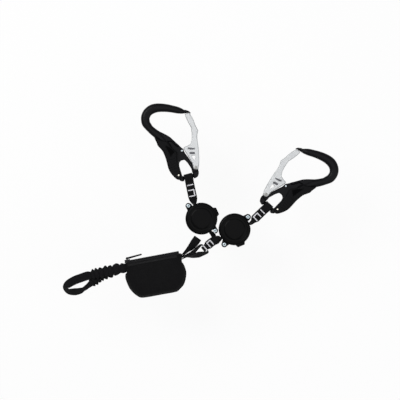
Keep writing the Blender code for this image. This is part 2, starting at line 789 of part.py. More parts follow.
def lock_pawl(name, parent):
    """The catch in the frame's slot, turned by the lever to free the gate."""
    pivot = at_share(CATCH_SHARES)
    half = PAWL_THICK / 2
    made = piece(name, slab(scaled(PAWL_SHARES), -half, half), "steel", parent, (*pivot, 0))
    combine(made, [
        cylinder(PAWL_PIN_RADIUS + GAP, -half - CUT_OVERRUN, half + CUT_OVERRUN, pivot, 12),
    ], "DIFFERENCE")


def headed_pin(name, parent, pivot, radius, length, head_radius, head):
    profile = [
        (0, -length / 2 - head), (head_radius, -length / 2 - head), (head_radius, -length / 2),
        (radius, -length / 2), (radius, length / 2), (head_radius, length / 2),
        (head_radius, length / 2 + head), (0, length / 2 + head),
    ]
    bm = turned(profile, 14)
    bmesh.ops.translate(bm, vec=(*pivot, 0), verts=bm.verts)
    piece(name, bm, "steel", parent, (*pivot, 0))


def carabiner(side, parent):
    carabiner_frame(f"{side}_carabiner_frame", parent)
    gate(f"{side}_gate", parent)
    palm_lever(f"{side}_palm_lever", parent)
    lock_pawl(f"{side}_lock_pawl", parent)
    gate_pivot = at_share(GATE_PIVOT_SHARES)
    lever_pivot = at_share(LEVER_PIVOT_SHARES)
    catch = at_share(CATCH_SHARES)
    headed_pin(f"{side}_gate_rivet", parent, gate_pivot, RIVET_RADIUS,
               GATE_THICK + 2 * GAP, RIVET_HEAD_RADIUS, RIVET_HEAD_HEIGHT)
    lever_pin = slab(disc(LEVER_PIN_RADIUS, 12, lever_pivot), -LEVER_THICK / 2, LEVER_THICK / 2)
    piece(f"{side}_lever_pin", lever_pin, "steel", parent)
    pawl_pin = slab(disc(PAWL_PIN_RADIUS, 12, catch), -PLATE_THICK / 2, PLATE_THICK / 2)
    piece(f"{side}_pawl_pin", pawl_pin, "steel", parent)


# Webs of the arms and the trunk

def exit_stations(centre, angle, twist):
    """The web from the stored roll through a mouth, on edge at first and turning flat."""
    stations = []
    for distance_share, roll_share, width_share in twist:
        reach = STORED_WEB_RADIUS + distance_share * WEB_WIDTH
        place = centre + heading(angle) * reach + Vector((0, 0, CASE_MID))
        stations.append(Station(place, tilted(angle, roll_share * UPRIGHT),
                                WEB_WIDTH * width_share))
    return stations


def crossbar_place(centre, exit_angle, arm_angle, length):
    bend = centre + heading(exit_angle) * WEB_BEND_REACH
    return bend + heading(arm_angle) * length + Vector((0, 0, CARABINER_MID))


# The twist of each web outside its case: distance from the stored roll in web widths, roll from
# flat to on edge, and width.
LEFT_TWIST_SHARES = ((0.06, 1.0, 1.0), (0.30, 0.90, 1.0), (0.52, 0.68, 1.0))
RIGHT_TWIST_SHARES = ((0.06, 1.0, 1.0), (0.30, 0.90, 0.92), (0.55, 0.70, 0.80))
TRUNK_TWIST_SHARES = ((0.06, -1.0, 1.0), (0.30, -0.92, 1.0), (0.55, -0.72, 1.0))
BRANCH_TWIST_SHARES = ((0.06, 1.0, 1.0), (0.30, 0.94, 0.92), (0.50, 0.74, 0.80))
# The run of each arm after its bend: distance back from the crossbar in arm lengths, roll, width.
LEFT_RUN_SHARES = (
    (0.945, 0.44, 1.0), (0.86, 0.20, 1.0), (0.77, 0.03, 1.0), (0.66, 0.0, 1.0),
    (0.50, 0.0, 1.0), (0.36, 0.0, 1.0), (0.22, 0.0, 1.0),
)
RIGHT_RUN_SHARES = (
    (0.93, 0.56, 0.72), (0.87, 0.38, 0.80), (0.81, 0.16, 0.92), (0.755, 0.02, 1.0),
    (0.60, 0.0, 1.0), (0.42, 0.0, 1.0), (0.24, 0.0, 1.0),
)
# The run of the trunk: distance from its lower end in trunk lengths, offset in web widths, roll.
TRUNK_RUN_SHARES = (
    (1.10, -0.205, -0.30), (0.92, -0.125, -0.06), (0.72, -0.04, 0), (0.48, 0, 0), (0.25, 0, 0),
)


def arm_web(name, parent, centre, exit_angle, arm_angle, length, twist, run, bar_angle):
    """The web from the case, round the carabiner's crossbar and back under itself."""
    end = crossbar_place(centre, exit_angle, arm_angle, length)
    back = heading(arm_angle) * -1
    flat = across(bar_angle)
    route = exit_stations(centre, exit_angle, twist)
    for distance_share, roll_share, width_share in run:
        place = end + back * length * distance_share
        place.z += (CASE_MID - CARABINER_MID) * distance_share
        route.append(Station(place, tilted(arm_angle, roll_share * UPRIGHT),
                             WEB_WIDTH * width_share))
    route.append(Station(end - heading(bar_angle) * WEB_TURN_RADIUS, flat))
    route.append(Station(end, flat))
    near = WEB_TURN_RADIUS * 0.8
    offsets = [LAYER] * (len(route) - 2) + [near, WEB_TURN_RADIUS]
    returns = [-LAYER] * 4 + [-near, -WEB_TURN_RADIUS]
    piece(name, strap(hairpin(route, offsets, returns)), "webbing", parent)
    return end


def sewn_bars(name, parent, place, angle, pitch, linked_side):
    """A bar of stitching across a web, or two that the thread joins at one edge."""
    half, thread = TACK_LENGTH / 2, TACK_THREAD / 2
    low, high = place.z, place.z + TACK_RISE
    if pitch:
        outline = [
            (-thread, -half), (pitch + thread, -half), (pitch + thread, half),
            (pitch - thread, half), (pitch - thread, 2 * thread - half),
            (thread, 2 * thread - half), (thread, half), (-thread, half),
        ]
    else:
        outline = [(-thread, -half), (thread, -half), (thread, half), (-thread, half)]
    points = [
        place + heading(angle) * along - across(angle) * linked_side * sideways
        for along, sideways in outline
    ]
    piece(name, slab([p.to_2d() for p in points], low, high), "thread", parent)


def trunk_start():
    """The trunk's lower end, set from the mouth of the right case that its web comes from."""
    mouth = RIGHT_CASE + heading(RIGHT_EXIT_ANGLE + TRUNK_MOUTH_ANGLE) * CASE_RADIUS
    return mouth + Vector((TRUNK_FROM_MOUTH_X, TRUNK_FROM_MOUTH_Y, 0))


def trunk_point(along, level=0):
    return trunk_start() + heading(TRUNK_ANGLE) * along + Vector((0, 0, LINK_LEVEL + level))


def trunk(parent):
    """The right arm's web forms the eye round the absorber's loop; the left arm's lies under it."""
    run = TRUNK_ANGLE + math.pi
    flat = across(run)
    route = exit_stations(RIGHT_CASE, RIGHT_EXIT_ANGLE + TRUNK_MOUTH_ANGLE, TRUNK_TWIST_SHARES)
    for share, sideways, roll in TRUNK_RUN_SHARES:
        place = trunk_point(TRUNK_LENGTH * share) + across(TRUNK_ANGLE) * WEB_WIDTH * sideways
        route.append(Station(place, tilted(run, roll * UPRIGHT)))
    route.append(Station(trunk_point(LINK_RADIUS * 0.3), flat, LINK_WIDTH * 1.2, LINK_THICK))
    route.append(Station(trunk_point(-LINK_BACK), flat, LINK_WIDTH, LINK_THICK))
    above = 2 * LAYER
    near = LINK_RADIUS * 0.9
    twist_count = len(TRUNK_TWIST_SHARES)
    offsets = [above * k / twist_count for k in range(twist_count)]
    offsets += [above] * len(TRUNK_RUN_SHARES) + [near, LINK_RADIUS]
    returns = [0, 0, -near, -LINK_RADIUS]
    stations = hairpin(route, offsets, returns)
    piece("trunk_web", strap(stations), "webbing", parent)
    left_branch(parent, above)
    level = above + LINK_THICK / 2 + GAP
    sewn_bars("trunk_bar_tacks", parent, trunk_point(TRUNK_BARS[1], level), TRUNK_ANGLE,
              TRUNK_BARS[2] - TRUNK_BARS[1], 1)
    level = LINK_RADIUS + LINK_THICK / 2 + GAP
    sewn_bars("trunk_end_bar_tack", parent, trunk_point(TRUNK_BARS[0], level), TRUNK_ANGLE, 0, 1)


def left_branch(parent, drop):
    """The left arm's web: from its case, bent in its own plane to lie under the trunk."""
    exit_angle = LEFT_EXIT_ANGLE + TRUNK_MOUTH_ANGLE
    route = exit_stations(LEFT_CASE, exit_angle, BRANCH_TWIST_SHARES)
    way = heading(exit_angle)
    trunk_way = heading(TRUNK_ANGLE)
    start = LEFT_CASE + way * CASE_RADIUS
    gap = trunk_start() - start
    # where the mouth's line meets the trunk's line
    reach = gap.cross(trunk_way).z / way.cross(trunk_way).z
    corner = start + way * reach
    turn = exit_angle - (TRUNK_ANGLE + math.pi)
    turn = (turn + math.pi) % math.tau - math.pi
    tangent = BRANCH_BEND_RADIUS * math.tan(turn / 2)
    level = Vector((0, 0, LINK_LEVEL - drop))
    bend_start = corner - way * tangent
    centre = bend_start - across(exit_angle) * BRANCH_BEND_RADIUS
    lean_place = start.lerp(bend_start, 0.5)
    lean_place.z = LINK_LEVEL - drop * 0.7
    route.append(Station(lean_place, tilted(exit_angle, 0.42 * UPRIGHT), BRANCH_BEND_WIDTH))
    for share in (0.02, 0.35, 0.68, 1.0):
        swing = exit_angle - turn * share
        roll = 0.10 * (1 - share) ** 2
        place = centre + across(swing) * BRANCH_BEND_RADIUS + level
        route.append(Station(place, tilted(swing, roll * UPRIGHT), BRANCH_BEND_WIDTH))
    route.append(Station(trunk_point(LINK_STRAND + LINK_RADIUS * 0.7, -drop),
                         across(TRUNK_ANGLE + math.pi), BRANCH_BEND_WIDTH))
    piece("left_branch_web", strap(route), "webbing", parent)


def arm_bars(side, parent, end, arm_angle, length, bars, linked_side):
    """The bars of stitching on an arm, at distances back from the crossbar."""
    single, first, second = bars
    for name, back, pitch, lift in (("arm_single_bar_tack", single, 0, GAP),
                                    ("arm_bar_tacks", first, first - second, 2.5 * GAP)):
        place = end - heading(arm_angle) * back
        # the web climbs from the crossbar's level to the mouth's
        climb = (CASE_MID - CARABINER_MID) * (back + TACK_THREAD) / length
        place.z = CARABINER_MID + climb + LAYER + WEB_THICK / 2 + lift
        sewn_bars(f"{side}_{name}", parent, place, arm_angle, pitch, linked_side)


# Pouch. Its frame has the pouch's centre at the origin and +x along the zip. The outline's
# shares are of the pouch's length and height.

POUCH_SHARES = (
    (0.460, 0.402), (0.500, 0.370), (0.495, 0.300), (0.478, 0.190), (0.502, 0.060),
    (0.512, -0.100), (0.485, -0.250), (0.437, -0.387), (0.360, -0.480), (0.291, -0.530),
    (0.050, -0.532), (-0.195, -0.530), (-0.300, -0.510), (-0.360, -0.440), (-0.399, -0.372),
    (-0.440, -0.270), (-0.463, -0.175), (-0.486, 0.008), (-0.478, 0.120), (-0.450, 0.200),
    (-0.450, 0.330), (-0.452, 0.395), (-0.430, 0.405), (-0.200, 0.402), (0.000, 0.402),
    (0.200, 0.404), (0.400, 0.402),
)
LEFT_MOUTH_SHARES = (-0.449, 0.300)
RIGHT_MOUTH_SHARES = (0.486, 0.290)
MOUTH_REACH_SHARE = 0.150
CROWN_SHARES = ((1.0, 0.0), (0.96, 0.40), (0.88, 0.68), (0.72, 0.90), (0.40, 1.0))


def pouch_share(pair):
    return (pair[0] * POUCH_LENGTH, pair[1] * POUCH_HEIGHT)


def mouth_lift(point):
    """How far the rim stands off the seam at a point, from 0 to 1, for the two web mouths."""
    lift = 0.0
    for shares in (LEFT_MOUTH_SHARES, RIGHT_MOUTH_SHARES):
        away = (Vector(point) - Vector(pouch_share(shares))).length
        reach = MOUTH_REACH_SHARE * POUCH_LENGTH
        lift = max(lift, min(1.0, max(0.0, 1.9 * (1 - away / reach))))
    return lift


def pouch_panel(name, parent, front):
    """One half of the pouch: a shell of cloth with a crown and a rim at the seam."""
    outline = rounded([pouch_share(pair) for pair in POUCH_SHARES], 3)
    middle = Vector((0, 0))
    crown = (POUCH_THICK - SEAM_LEVEL if front else SEAM_LEVEL) - GAP / 2
    sign = 1 if front else -1
    lip = MOUTH_RISE if front else MOUTH_DROP
    outer, inner = [], []
    for scale, rise in CROWN_SHARES:
        outer_ring, inner_ring = [], []
        for point in outline:
            lift = mouth_lift(point) * lip * max(0.0, 1 - 6 * (1 - scale))
            height = max(rise * crown, lift + rise * (crown - lift)) + GAP / 2
            place = middle + (Vector(point) - middle) * scale
            outer_ring.append((*place, SEAM_LEVEL + sign * height))
            cloth = POUCH_CLOTH * (1.5 if rise == 0 else 1)
            place = place * (1 - cloth / place.length)
            drop = 0 if rise == 0 else POUCH_CLOTH
            inner_ring.append((*place, SEAM_LEVEL + sign * (height - drop)))
        outer.append(outer_ring)
        inner.append(inner_ring)
    bm = bridged(outer[::-1] + inner)
    # the two flat faces of the crown fan out from their centres
    bm.faces.ensure_lookup_table()
    bmesh.ops.poke(bm, faces=bm.faces[-2:])
    piece(name, bm, "pouch_fabric", parent)


def pouch_zip(parent):
    """The zip: a tape along the pouch's top edge, a coil on it, and the slider with its tab."""
    left = -ZIP_LENGTH / 2
    right = ZIP_LENGTH / 2
    level = SEAM_LEVEL
    tape_face = ZIP_LINE - ZIP_COIL_RADIUS - GAP
    tape = box((left, tape_face - ZIP_TAPE_THICK, level - ZIP_TAPE_WIDTH / 2),
               (right, tape_face, level + ZIP_TAPE_WIDTH / 2))
    piece("zip_tape", tape, "pouch_fabric", parent)
    ribs = 36
    points = [Vector((left + ZIP_LENGTH * i / ribs, ZIP_LINE, level)) for i in range(ribs + 1)]
    rings = []
    for i, point in enumerate(points):
        radius = ZIP_COIL_RADIUS * (1 if i % 2 else 0.82)
        rings.append([point + Vector((0, radius * y, radius * z)) for y, z in disc(1, 8)])
    piece("zip_coil", bridged(rings), "zip_plastic", parent)

    room = ZIP_COIL_RADIUS + GAP
    wall = room + SLIDER_WALL
    near = tape_face + GAP
    body = [
        (near, -wall), (ZIP_LINE + wall, -wall), (ZIP_LINE + wall, wall), (near, wall),
        (near, room), (ZIP_LINE + room, room), (ZIP_LINE + room, -room), (near, -room),
    ]
    start = left + GAP
    rings = [
        [(x, y, level + z) for y, z in body] for x in (start, start + SLIDER_LENGTH)
    ]
    slider = piece("zip_slider", bridged(rings), "steel", parent)
    pin = slider_pin_place(level)
    post = SLIDER_WALL * 0.9
    combine(slider, [
        box((pin.x - post, ZIP_LINE + room + GAP, level - post),
            (pin.x + post, pin.y + post, level + post)),
        cylinder(post, level - wall * 0.8, level + wall * 0.8, pin, 10),
    ], "UNION")
    return pin


def slider_pin_place(level):
    """The upright pin on the slider that the pull tab turns on."""
    left = -ZIP_LENGTH / 2 + GAP
    out = ZIP_LINE + ZIP_COIL_RADIUS + GAP + SLIDER_WALL
    return Vector((left + SLIDER_LENGTH / 2, out + 2 * SLIDER_WALL + GAP, level))


def zip_tab(parent, pin):
    """A slim pull tab with an eye at its end that turns on the slider's pin."""
    post = SLIDER_WALL * 0.9
    eye = post + GAP
    rim = eye + SLIDER_WALL * 0.8
    half = TAB_THICK / 2
    low, high = pin.z - TAB_WIDTH / 2, pin.z + TAB_WIDTH / 2
    outline = disc(rim, 9, (0, 0), math.radians(50), math.radians(260))
    outline += [(TAB_LENGTH, -half), (TAB_LENGTH + half, 0), (TAB_LENGTH, half)]
    tab = slab(outline, low, high)
    hole = cylinder(eye, low - CUT_OVERRUN, high + CUT_OVERRUN, sides=10)
    window_reach = rim + post + GAP
    relief = box((-rim - CUT_OVERRUN, -rim - CUT_OVERRUN, pin.z - post - GAP),
                 (window_reach * 0.62, rim + CUT_OVERRUN, pin.z + post + GAP))
    for bm in (tab, hole, relief):
        turn = Matrix.Rotation(TAB_ANGLE, 3, "Z")
        bmesh.ops.rotate(bm, verts=bm.verts, matrix=turn)
        bmesh.ops.translate(bm, verts=bm.verts, vec=(pin.x, pin.y, 0))
    made = piece("zip_pull_tab", tab, "zip_plastic", parent, pin)
    combine(made, [hole, relief], "DIFFERENCE")


def absorber(parent):
    """The tear webbing folded in layers, with the band that holds the folds."""
    pitch = ABSORBER_WEB + 2 * GAP
    low = POUCH_CLOTH + ABSORBER_LIFT + BAND_THICK + GAP + ABSORBER_WEB / 2
    half = ABSORBER_LENGTH / 2
    middle = -0.06 * POUCH_HEIGHT
    side = (0, 1, 0)
    stations = []
    for layer in range(ABSORBER_LAYERS):
        level = low + pitch * layer
        ends = (-half, half) if layer % 2 == 0 else (half, -half)
        stations.append(Station((ends[0], middle, level), side, ABSORBER_WIDTH, ABSORBER_WEB))
        stations.append(Station((ends[1], middle, level), side, ABSORBER_WIDTH, ABSORBER_WEB))
        if layer < ABSORBER_LAYERS - 1:
            out = math.copysign(pitch * 0.62, ends[1])
            stations.append(Station((ends[1] + out, middle, level + pitch / 2), side,
                                    ABSORBER_WIDTH, ABSORBER_WEB))
    bm = strap_straight(stations)
    piece("absorber_pack", bm, "webbing", parent)
    bottom = low - ABSORBER_WEB / 2 - GAP
    top = low + pitch * (ABSORBER_LAYERS - 1) + ABSORBER_WEB / 2 + GAP
    out = ABSORBER_WIDTH / 2 + GAP
    inner = [(middle - out, bottom), (middle + out, bottom), (middle + out, top),
             (middle - out, top)]
    outer = [(middle - out - BAND_THICK, bottom - BAND_THICK),
             (middle + out + BAND_THICK, bottom - BAND_THICK),
             (middle + out + BAND_THICK, top + BAND_THICK),
             (middle - out - BAND_THICK, top + BAND_THICK)]
    edge = BAND_WIDTH / 2
    rings = [
        [(x, y, z) for y, z in ring]
        for x, ring in ((-edge, outer), (edge, outer), (edge, inner), (-edge, inner))
    ]
    piece("absorber_band", bridged(rings, True), "elastic", parent)


def strap_straight(stations):
    """A flat web with straight runs between its stations."""
    rings = []
    for station, _, side, face in frames(stations):
        wide = side * station.width / 2
        deep = face * station.thick / 2
        if abs(face.z) > 0.8:
            # a straight run lies level, with the same side of the web up as its face
            deep = Vector((0, 0, math.copysign(station.thick / 2, face.z)))
        rings.append([
            station.place + wide + deep, station.place - wide + deep,
            station.place - wide - deep, station.place + wide - deep,
        ])
    return bridged(rings)


# Loops at the pouch's two mouths. These routes are in the pouch's frame.

# the absorber's end loop, from the pouch's right mouth: forwards and sideways in web widths, roll
# from flat to on edge, and width
LOWER_STRAND_SHARES = (
    (-0.66, -0.20, 1.0, 0.84), (0.0, -0.18, 1.0, 0.84), (0.60, -0.02, 0.92, 0.92),
    (1.28, -0.08, 0.74, 1.0), (2.00, -0.04, 0.54, 0.98),
)
UPPER_STRAND_SHARES = (
    (1.36, 0.32, 0.72, 0.92), (0.76, 0.17, 0.86, 0.90), (0.0, 0.02, 1.0, 0.84),
    (-0.66, 0.02, 1.0, 0.84),
)
# round the trunk's eye: forwards and sideways in web widths from the eye, roll and width
EYE_STRAND_SHARES = (
    (-0.16, -0.56, 0.76, 0.64), (0.01, -0.36, 0.98, 0.37), (0.0, 0.0, 1.0, 0.35),
    (-0.02, 0.36, 0.98, 0.37), (-0.28, 0.56, 0.80, 0.62),
)


def absorber_loop(pouch):
    """The absorber's end loop: on edge out of the pouch, round the trunk's eye and back."""
    inverse = pouch.matrix_basis.inverted()
    link = inverse @ trunk_point(-LINK_BACK)
    run = TRUNK_ANGLE - POUCH_ANGLE
    mouth = Vector((*pouch_share(RIGHT_MOUTH_SHARES), LINK_LEVEL + RUNNING_GAP))
    places = []
    for forward, sideways, roll, width in LOWER_STRAND_SHARES:
        places.append((mouth + WEB_WIDTH * Vector((forward, sideways, 0)), roll, width))
    for forward, sideways, roll, width in EYE_STRAND_SHARES:
        offset = forward * heading(run) + sideways * across(run)
        places.append((link + WEB_WIDTH * offset, roll, width))
    for forward, sideways, roll, width in UPPER_STRAND_SHARES:
        places.append((mouth + WEB_WIDTH * Vector((forward, sideways, 0)), roll, width))
    stations = []
    for i, (place, roll, width) in enumerate(places):
        ahead = places[min(i + 1, len(places) - 1)][0] - places[max(i - 1, 0)][0]
        angle = math.atan2(ahead.y, ahead.x)
        stations.append(Station(place, tilted(angle, roll * UPRIGHT), WEB_WIDTH * width))
    piece("absorber_end_loop", strap(stations, WEB_STEP * 0.8), "webbing", pouch)


def rest_loop(pouch):
    """A short loop of flat web beside the absorber's end loop."""
    mouth = Vector((*pouch_share(RIGHT_MOUTH_SHARES), LINK_LEVEL + RUNNING_GAP))
    reach = REST_LOOP_REACH
    # forwards and sideways in the loop's reach, roll, width and half the gap between its layers
    route_shares = (
        (-0.130, 0.080, 1.0, 0.90, 0.028), (0.040, 0.092, 1.0, 0.90, 0.028),
        (0.290, 0.250, 0.84, 0.95, 0.032), (0.530, 0.405, 0.52, 1.0, 0.036),
        (0.700, 0.550, 0.22, 1.0, 0.046), (0.845, 0.690, 0.08, 1.0, 0.056),
    )
    route = []
    for i, (forward, sideways, roll, width, _) in enumerate(route_shares):
        before, after = route_shares[max(i - 1, 0)], route_shares[min(i + 1, 5)]
        angle = math.atan2(after[1] - before[1], after[0] - before[0])
        place = mouth + reach * Vector((forward, sideways, 0))
        route.append(Station(place, tilted(angle, roll * UPRIGHT), REST_LOOP_WIDTH * width))
    offsets = [reach * shares[-1] for shares in route_shares]
    returns = [-offset for offset in offsets]
    piece("rest_loop", strap(hairpin(route, offsets, returns, 5)), "webbing", pouch)


# the middle lines from the pouch's left mouth, as shares of the tie-in loop's reach:
# distance, bow and level
UPPER_SLEEVE_SHARES = (
    (0.018, 0.003, 0.127), (0.190, 0.000, 0.126), (0.320, -0.001, 0.123),
    (0.450, -0.006, 0.112), (0.548, -0.011, 0.094),
)
LOWER_SLEEVE_SHARES = (
    (0.018, -0.002, 0.0425), (0.192, -0.022, 0.0415), (0.332, -0.044, 0.0415),
    (0.430, -0.071, 0.0415), (0.520, -0.110, 0.0415), (0.590, -0.149, 0.0420),
)
# the free loop between the sleeves, with its roll from flat to on edge and its width
TIE_LOOP_SHARES = (
    (0.620, -0.019, 0.076, 0.00, 1.00), (0.729, -0.036, 0.066, 0.02, 1.00),
    (0.833, -0.055, 0.060, 0.10, 1.00), (0.935, -0.092, 0.060, 0.28, 1.00),
    (0.983, -0.132, 0.061, 0.50, 1.00), (0.983, -0.168, 0.064, 0.62, 1.00),
    (0.962, -0.198, 0.064, 0.60, 1.00), (0.923, -0.217, 0.059, 0.48, 1.00),
    (0.852, -0.230, 0.053, 0.38, 1.00), (0.771, -0.229, 0.060, 0.52, 1.00),
    (0.710, -0.212, 0.054, 0.62, 0.74), (0.645, -0.180, 0.045, 0.34, 0.62),
)


def left_mouth_place(share):
    mouth = Vector((*pouch_share(LEFT_MOUTH_SHARES), 0))
    return mouth + TIE_IN_REACH * Vector((-share[0], share[1], share[2]))


def sleeve(name, parent, shares):
    """A gathered elastic sleeve with ribs, open for the web that runs through it."""
    points = [left_mouth_place(share) for share in shares]
    length = sum((b - a).length for a, b in zip(points, points[1:]))
    count = 2 * round(length / SLEEVE_RIB_PITCH)
    spans = len(points) - 1
    outer, inner = [], []
    stations = []
    for i in range(count + 1):
        where = spans * i / count
        index = min(int(where), spans - 1)
        stations.append(Station(curve_point(points, index, where - index), (0, 1, 0)))
    for i, (station, _, side, face) in enumerate(frames(stations)):
        rib = SLEEVE_RIB * (1 if i % 2 else 0)
        wide, tall = SLEEVE_HALF_WIDTH + rib, SLEEVE_HALF_HEIGHT + rib
        outer.append([station.place + side * wide * x + face * tall * y
                      for x, y in disc(1, SLEEVE_SIDES)])
        inner.append([station.place + side * SLEEVE_BORE_WIDTH * x + face * SLEEVE_BORE_HEIGHT * y
                      for x, y in disc(1, SLEEVE_SIDES)])
    piece(name, bridged(outer + inner[::-1], True), "elastic", parent)


# The web's two ends inside the pouch: distance in from the mouth and level, upper end first.
INNER_END_SHARES = ((-0.070, 0.126), (-0.070, 0.058))
INNER_BEND_SHARES = ((-0.030, 0.1222), (-0.030, 0.0563))


def tie_in_loop(parent):
    """Flat web through both sleeves, round in a loop, and into the pouch at both ends."""
    narrow = GATHERED_WEB_WIDTH
    stations = []
    sleeves = (UPPER_SLEEVE_SHARES, LOWER_SLEEVE_SHARES)
    for shares, end_share, bend_share in zip(sleeves, INNER_END_SHARES, INNER_BEND_SHARES):
        leg = [(end_share[0], 0.0, end_share[1]), (bend_share[0], shares[0][1], bend_share[1])]
        places = [left_mouth_place(share) for share in leg]
        sleeve_places = [left_mouth_place(share) for share in shares]
        for i in range(len(sleeve_places) - 1):
            places += [sleeve_places[i], curve_point(sleeve_places, i, 0.5)]
        places.append(sleeve_places[-1])
        stations.append([Station(place, (0, 1, 0), narrow) for place in places])
    out, back = stations
    for station in out:
        station.side = Vector((0, -1, 0))
    free = []
    for i, (along, bow, level, roll, width) in enumerate(TIE_LOOP_SHARES):
        before = TIE_LOOP_SHARES[max(i - 1, 0)]
        after = TIE_LOOP_SHARES[min(i + 1, len(TIE_LOOP_SHARES) - 1)]
        angle = math.atan2(after[1] - before[1], before[0] - after[0])
        place = left_mouth_place((along, bow, level))
        free.append(Station(place, tilted(angle, roll * UPRIGHT), WEB_WIDTH * width))
    piece("tie_in_loop", strap(out + free + back[::-1]), "webbing", parent)


def build():
    clear_scene()
    lanyard = empty("lanyard", (LANYARD_X, LANYARD_Y, LANYARD_Z))
    pouch = empty("pouch_place", (POUCH_X, POUCH_Y, 0), (0, 0, POUCH_ANGLE), lanyard)
    bpy.context.view_layer.update()
    pouch_panel("pouch_front_panel", pouch, True)
    pouch_panel("pouch_back_panel", pouch, False)
    pin = pouch_zip(pouch)
    zip_tab(pouch, pin)
    absorber(pouch)
    absorber_loop(pouch)
    rest_loop(pouch)
    sleeve("elastic_sleeve_upper", pouch, UPPER_SLEEVE_SHARES)
    sleeve("elastic_sleeve_lower", pouch, LOWER_SLEEVE_SHARES)
    tie_in_loop(pouch)
    trunk(lanyard)
    arms = (
        ("left", LEFT_CASE, LEFT_EXIT_ANGLE, LEFT_EAR_ANGLES, LEFT_ARM_ANGLE, LEFT_ARM_LENGTH,
         LEFT_TWIST_SHARES, LEFT_RUN_SHARES, (0, 0, LEFT_CARABINER_ANGLE), LEFT_BARS, -1),
        ("right", RIGHT_CASE, RIGHT_EXIT_ANGLE, RIGHT_EAR_ANGLES, RIGHT_ARM_ANGLE,
         RIGHT_ARM_LENGTH, RIGHT_TWIST_SHARES, RIGHT_RUN_SHARES,
         (0, math.pi, RIGHT_CARABINER_ANGLE), RIGHT_BARS, 1),
    )
    for side, centre, exit_angle, ears, angle, length, twist, run, turn, bars, linked in arms:
        case = empty(f"{side}_case_place", centre, (0, 0, exit_angle), lanyard)
        retractor(side, case, ears)
        bar_angle = turn[2] + UPRIGHT
        end = arm_web(f"{side}_arm_web", lanyard, centre, exit_angle, angle, length, twist, run,
                      bar_angle)
        arm_bars(side, lanyard, end, angle, length, bars, linked)
        place = empty(f"{side}_carabiner_place", end, turn, lanyard)
        carabiner(side, place)


build()
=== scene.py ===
"""A via ferrata lanyard laid out flat over a white floor, seen from straight above."""

import math

import bmesh
import bpy
from mathutils import Euler, Matrix, Vector, noise


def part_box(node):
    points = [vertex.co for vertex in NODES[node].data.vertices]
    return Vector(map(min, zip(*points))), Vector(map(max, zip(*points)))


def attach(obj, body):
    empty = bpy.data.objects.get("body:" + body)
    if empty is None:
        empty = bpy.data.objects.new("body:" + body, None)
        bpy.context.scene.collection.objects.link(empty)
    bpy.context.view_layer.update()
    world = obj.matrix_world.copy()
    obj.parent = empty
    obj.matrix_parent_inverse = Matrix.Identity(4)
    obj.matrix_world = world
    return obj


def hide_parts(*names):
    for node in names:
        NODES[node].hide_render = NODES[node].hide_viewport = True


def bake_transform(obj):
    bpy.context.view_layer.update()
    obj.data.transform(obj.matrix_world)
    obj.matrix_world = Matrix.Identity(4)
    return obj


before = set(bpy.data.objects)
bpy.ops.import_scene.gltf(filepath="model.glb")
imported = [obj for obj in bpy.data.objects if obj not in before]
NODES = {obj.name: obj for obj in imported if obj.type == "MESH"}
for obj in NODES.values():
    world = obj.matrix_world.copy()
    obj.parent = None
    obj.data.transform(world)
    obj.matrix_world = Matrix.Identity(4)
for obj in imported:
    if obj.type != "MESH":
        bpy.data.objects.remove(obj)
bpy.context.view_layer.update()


# Arm webs
# Each arm is flat black polyamide webbing, 13.5 mm wide and 1.5 mm thick, woven in herringbone
# with firm edges. It leaves its case on edge, turns flat, goes round the carabiner's crossbar and
# back under itself, where bar tacks hold it.

# what centres the laid-out lanyard on the origin, and the room between two pieces
SHIFT, GAP = Vector((-0.00045, 0.00065, 0)), 0.0003
WIDTH, THICK = 0.0135, 0.0015
# the web's level at a case and at a carabiner, and half the step between its doubled layers
CASE_MID, CARABINER_MID, LAYER = 0.00975, 0.0082, 0.0009
CASE_RADIUS, ROLL_RADIUS, TURN_RADIUS = 0.0248, 0.0190, 0.00415
# from a case's centre: where the web's stretch begins, and where the web bends into its arm's line
STRETCH_REACH, BEND_REACH = 0.0215, 0.0276
UP, UPRIGHT = Vector((0, 0, 1)), math.radians(90)


def node(tree, kind, **settings):
    """A shader node: in_0, in_1 and so on set or wire its inputs, any other name its settings."""
    made = tree.nodes.new(kind)
    for name, value in settings.items():
        if not name.startswith("in_"):
            setattr(made, name, value)
            continue
        socket = made.inputs[int(name[3:])]
        if isinstance(value, bpy.types.NodeSocket):
            tree.links.new(value, socket)
        else:
            socket.default_value = value
    return made


def finish_of(name, colour, roughness, metallic=0.0, sheen=0.0, coat=0.0, shine=0.07):
    """A material with its shader, for the detail of each finish to be wired to."""
    made = bpy.data.materials.new(name)
    made.use_nodes = True
    shader = made.node_tree.nodes["Principled BSDF"]
    for socket, value in (("Base Color", (*colour, 1)), ("Roughness", roughness),
                          ("Metallic", metallic), ("Sheen Weight", sheen),
                          ("Sheen Roughness", 0.45), ("Coat Weight", coat),
                          ("Coat Roughness", 0.10), ("Specular IOR Level", shine)):
        shader.inputs[socket].default_value = value
    return made, made.node_tree, shader


def real_place(tree):
    """The place on the piece in metres, for patterns that keep their true size."""
    return node(tree, "ShaderNodeTexCoord").outputs["Object"]


def maths(tree, operation, one, two=0.0):
    return node(tree, "ShaderNodeMath", operation=operation, in_0=one, in_1=two).outputs[0]


def spots(tree, scale, detail=3.0, place=None):
    """Noise in real space, with so many spots to the metre."""
    if place is None:
        place = real_place(tree)
    return node(tree, "ShaderNodeTexNoise", in_0=place, in_2=scale, in_3=detail).outputs[0]


def tones(tree, shader, factor, dark, light):
    """Colour that runs between two tones by a factor from 0 to 1."""
    ramp = node(tree, "ShaderNodeValToRGB", in_0=factor)
    ramp.color_ramp.elements[0].color = (*dark, 1)
    ramp.color_ramp.elements[1].color = (*light, 1)
    tree.links.new(ramp.outputs[0], shader.inputs["Base Color"])


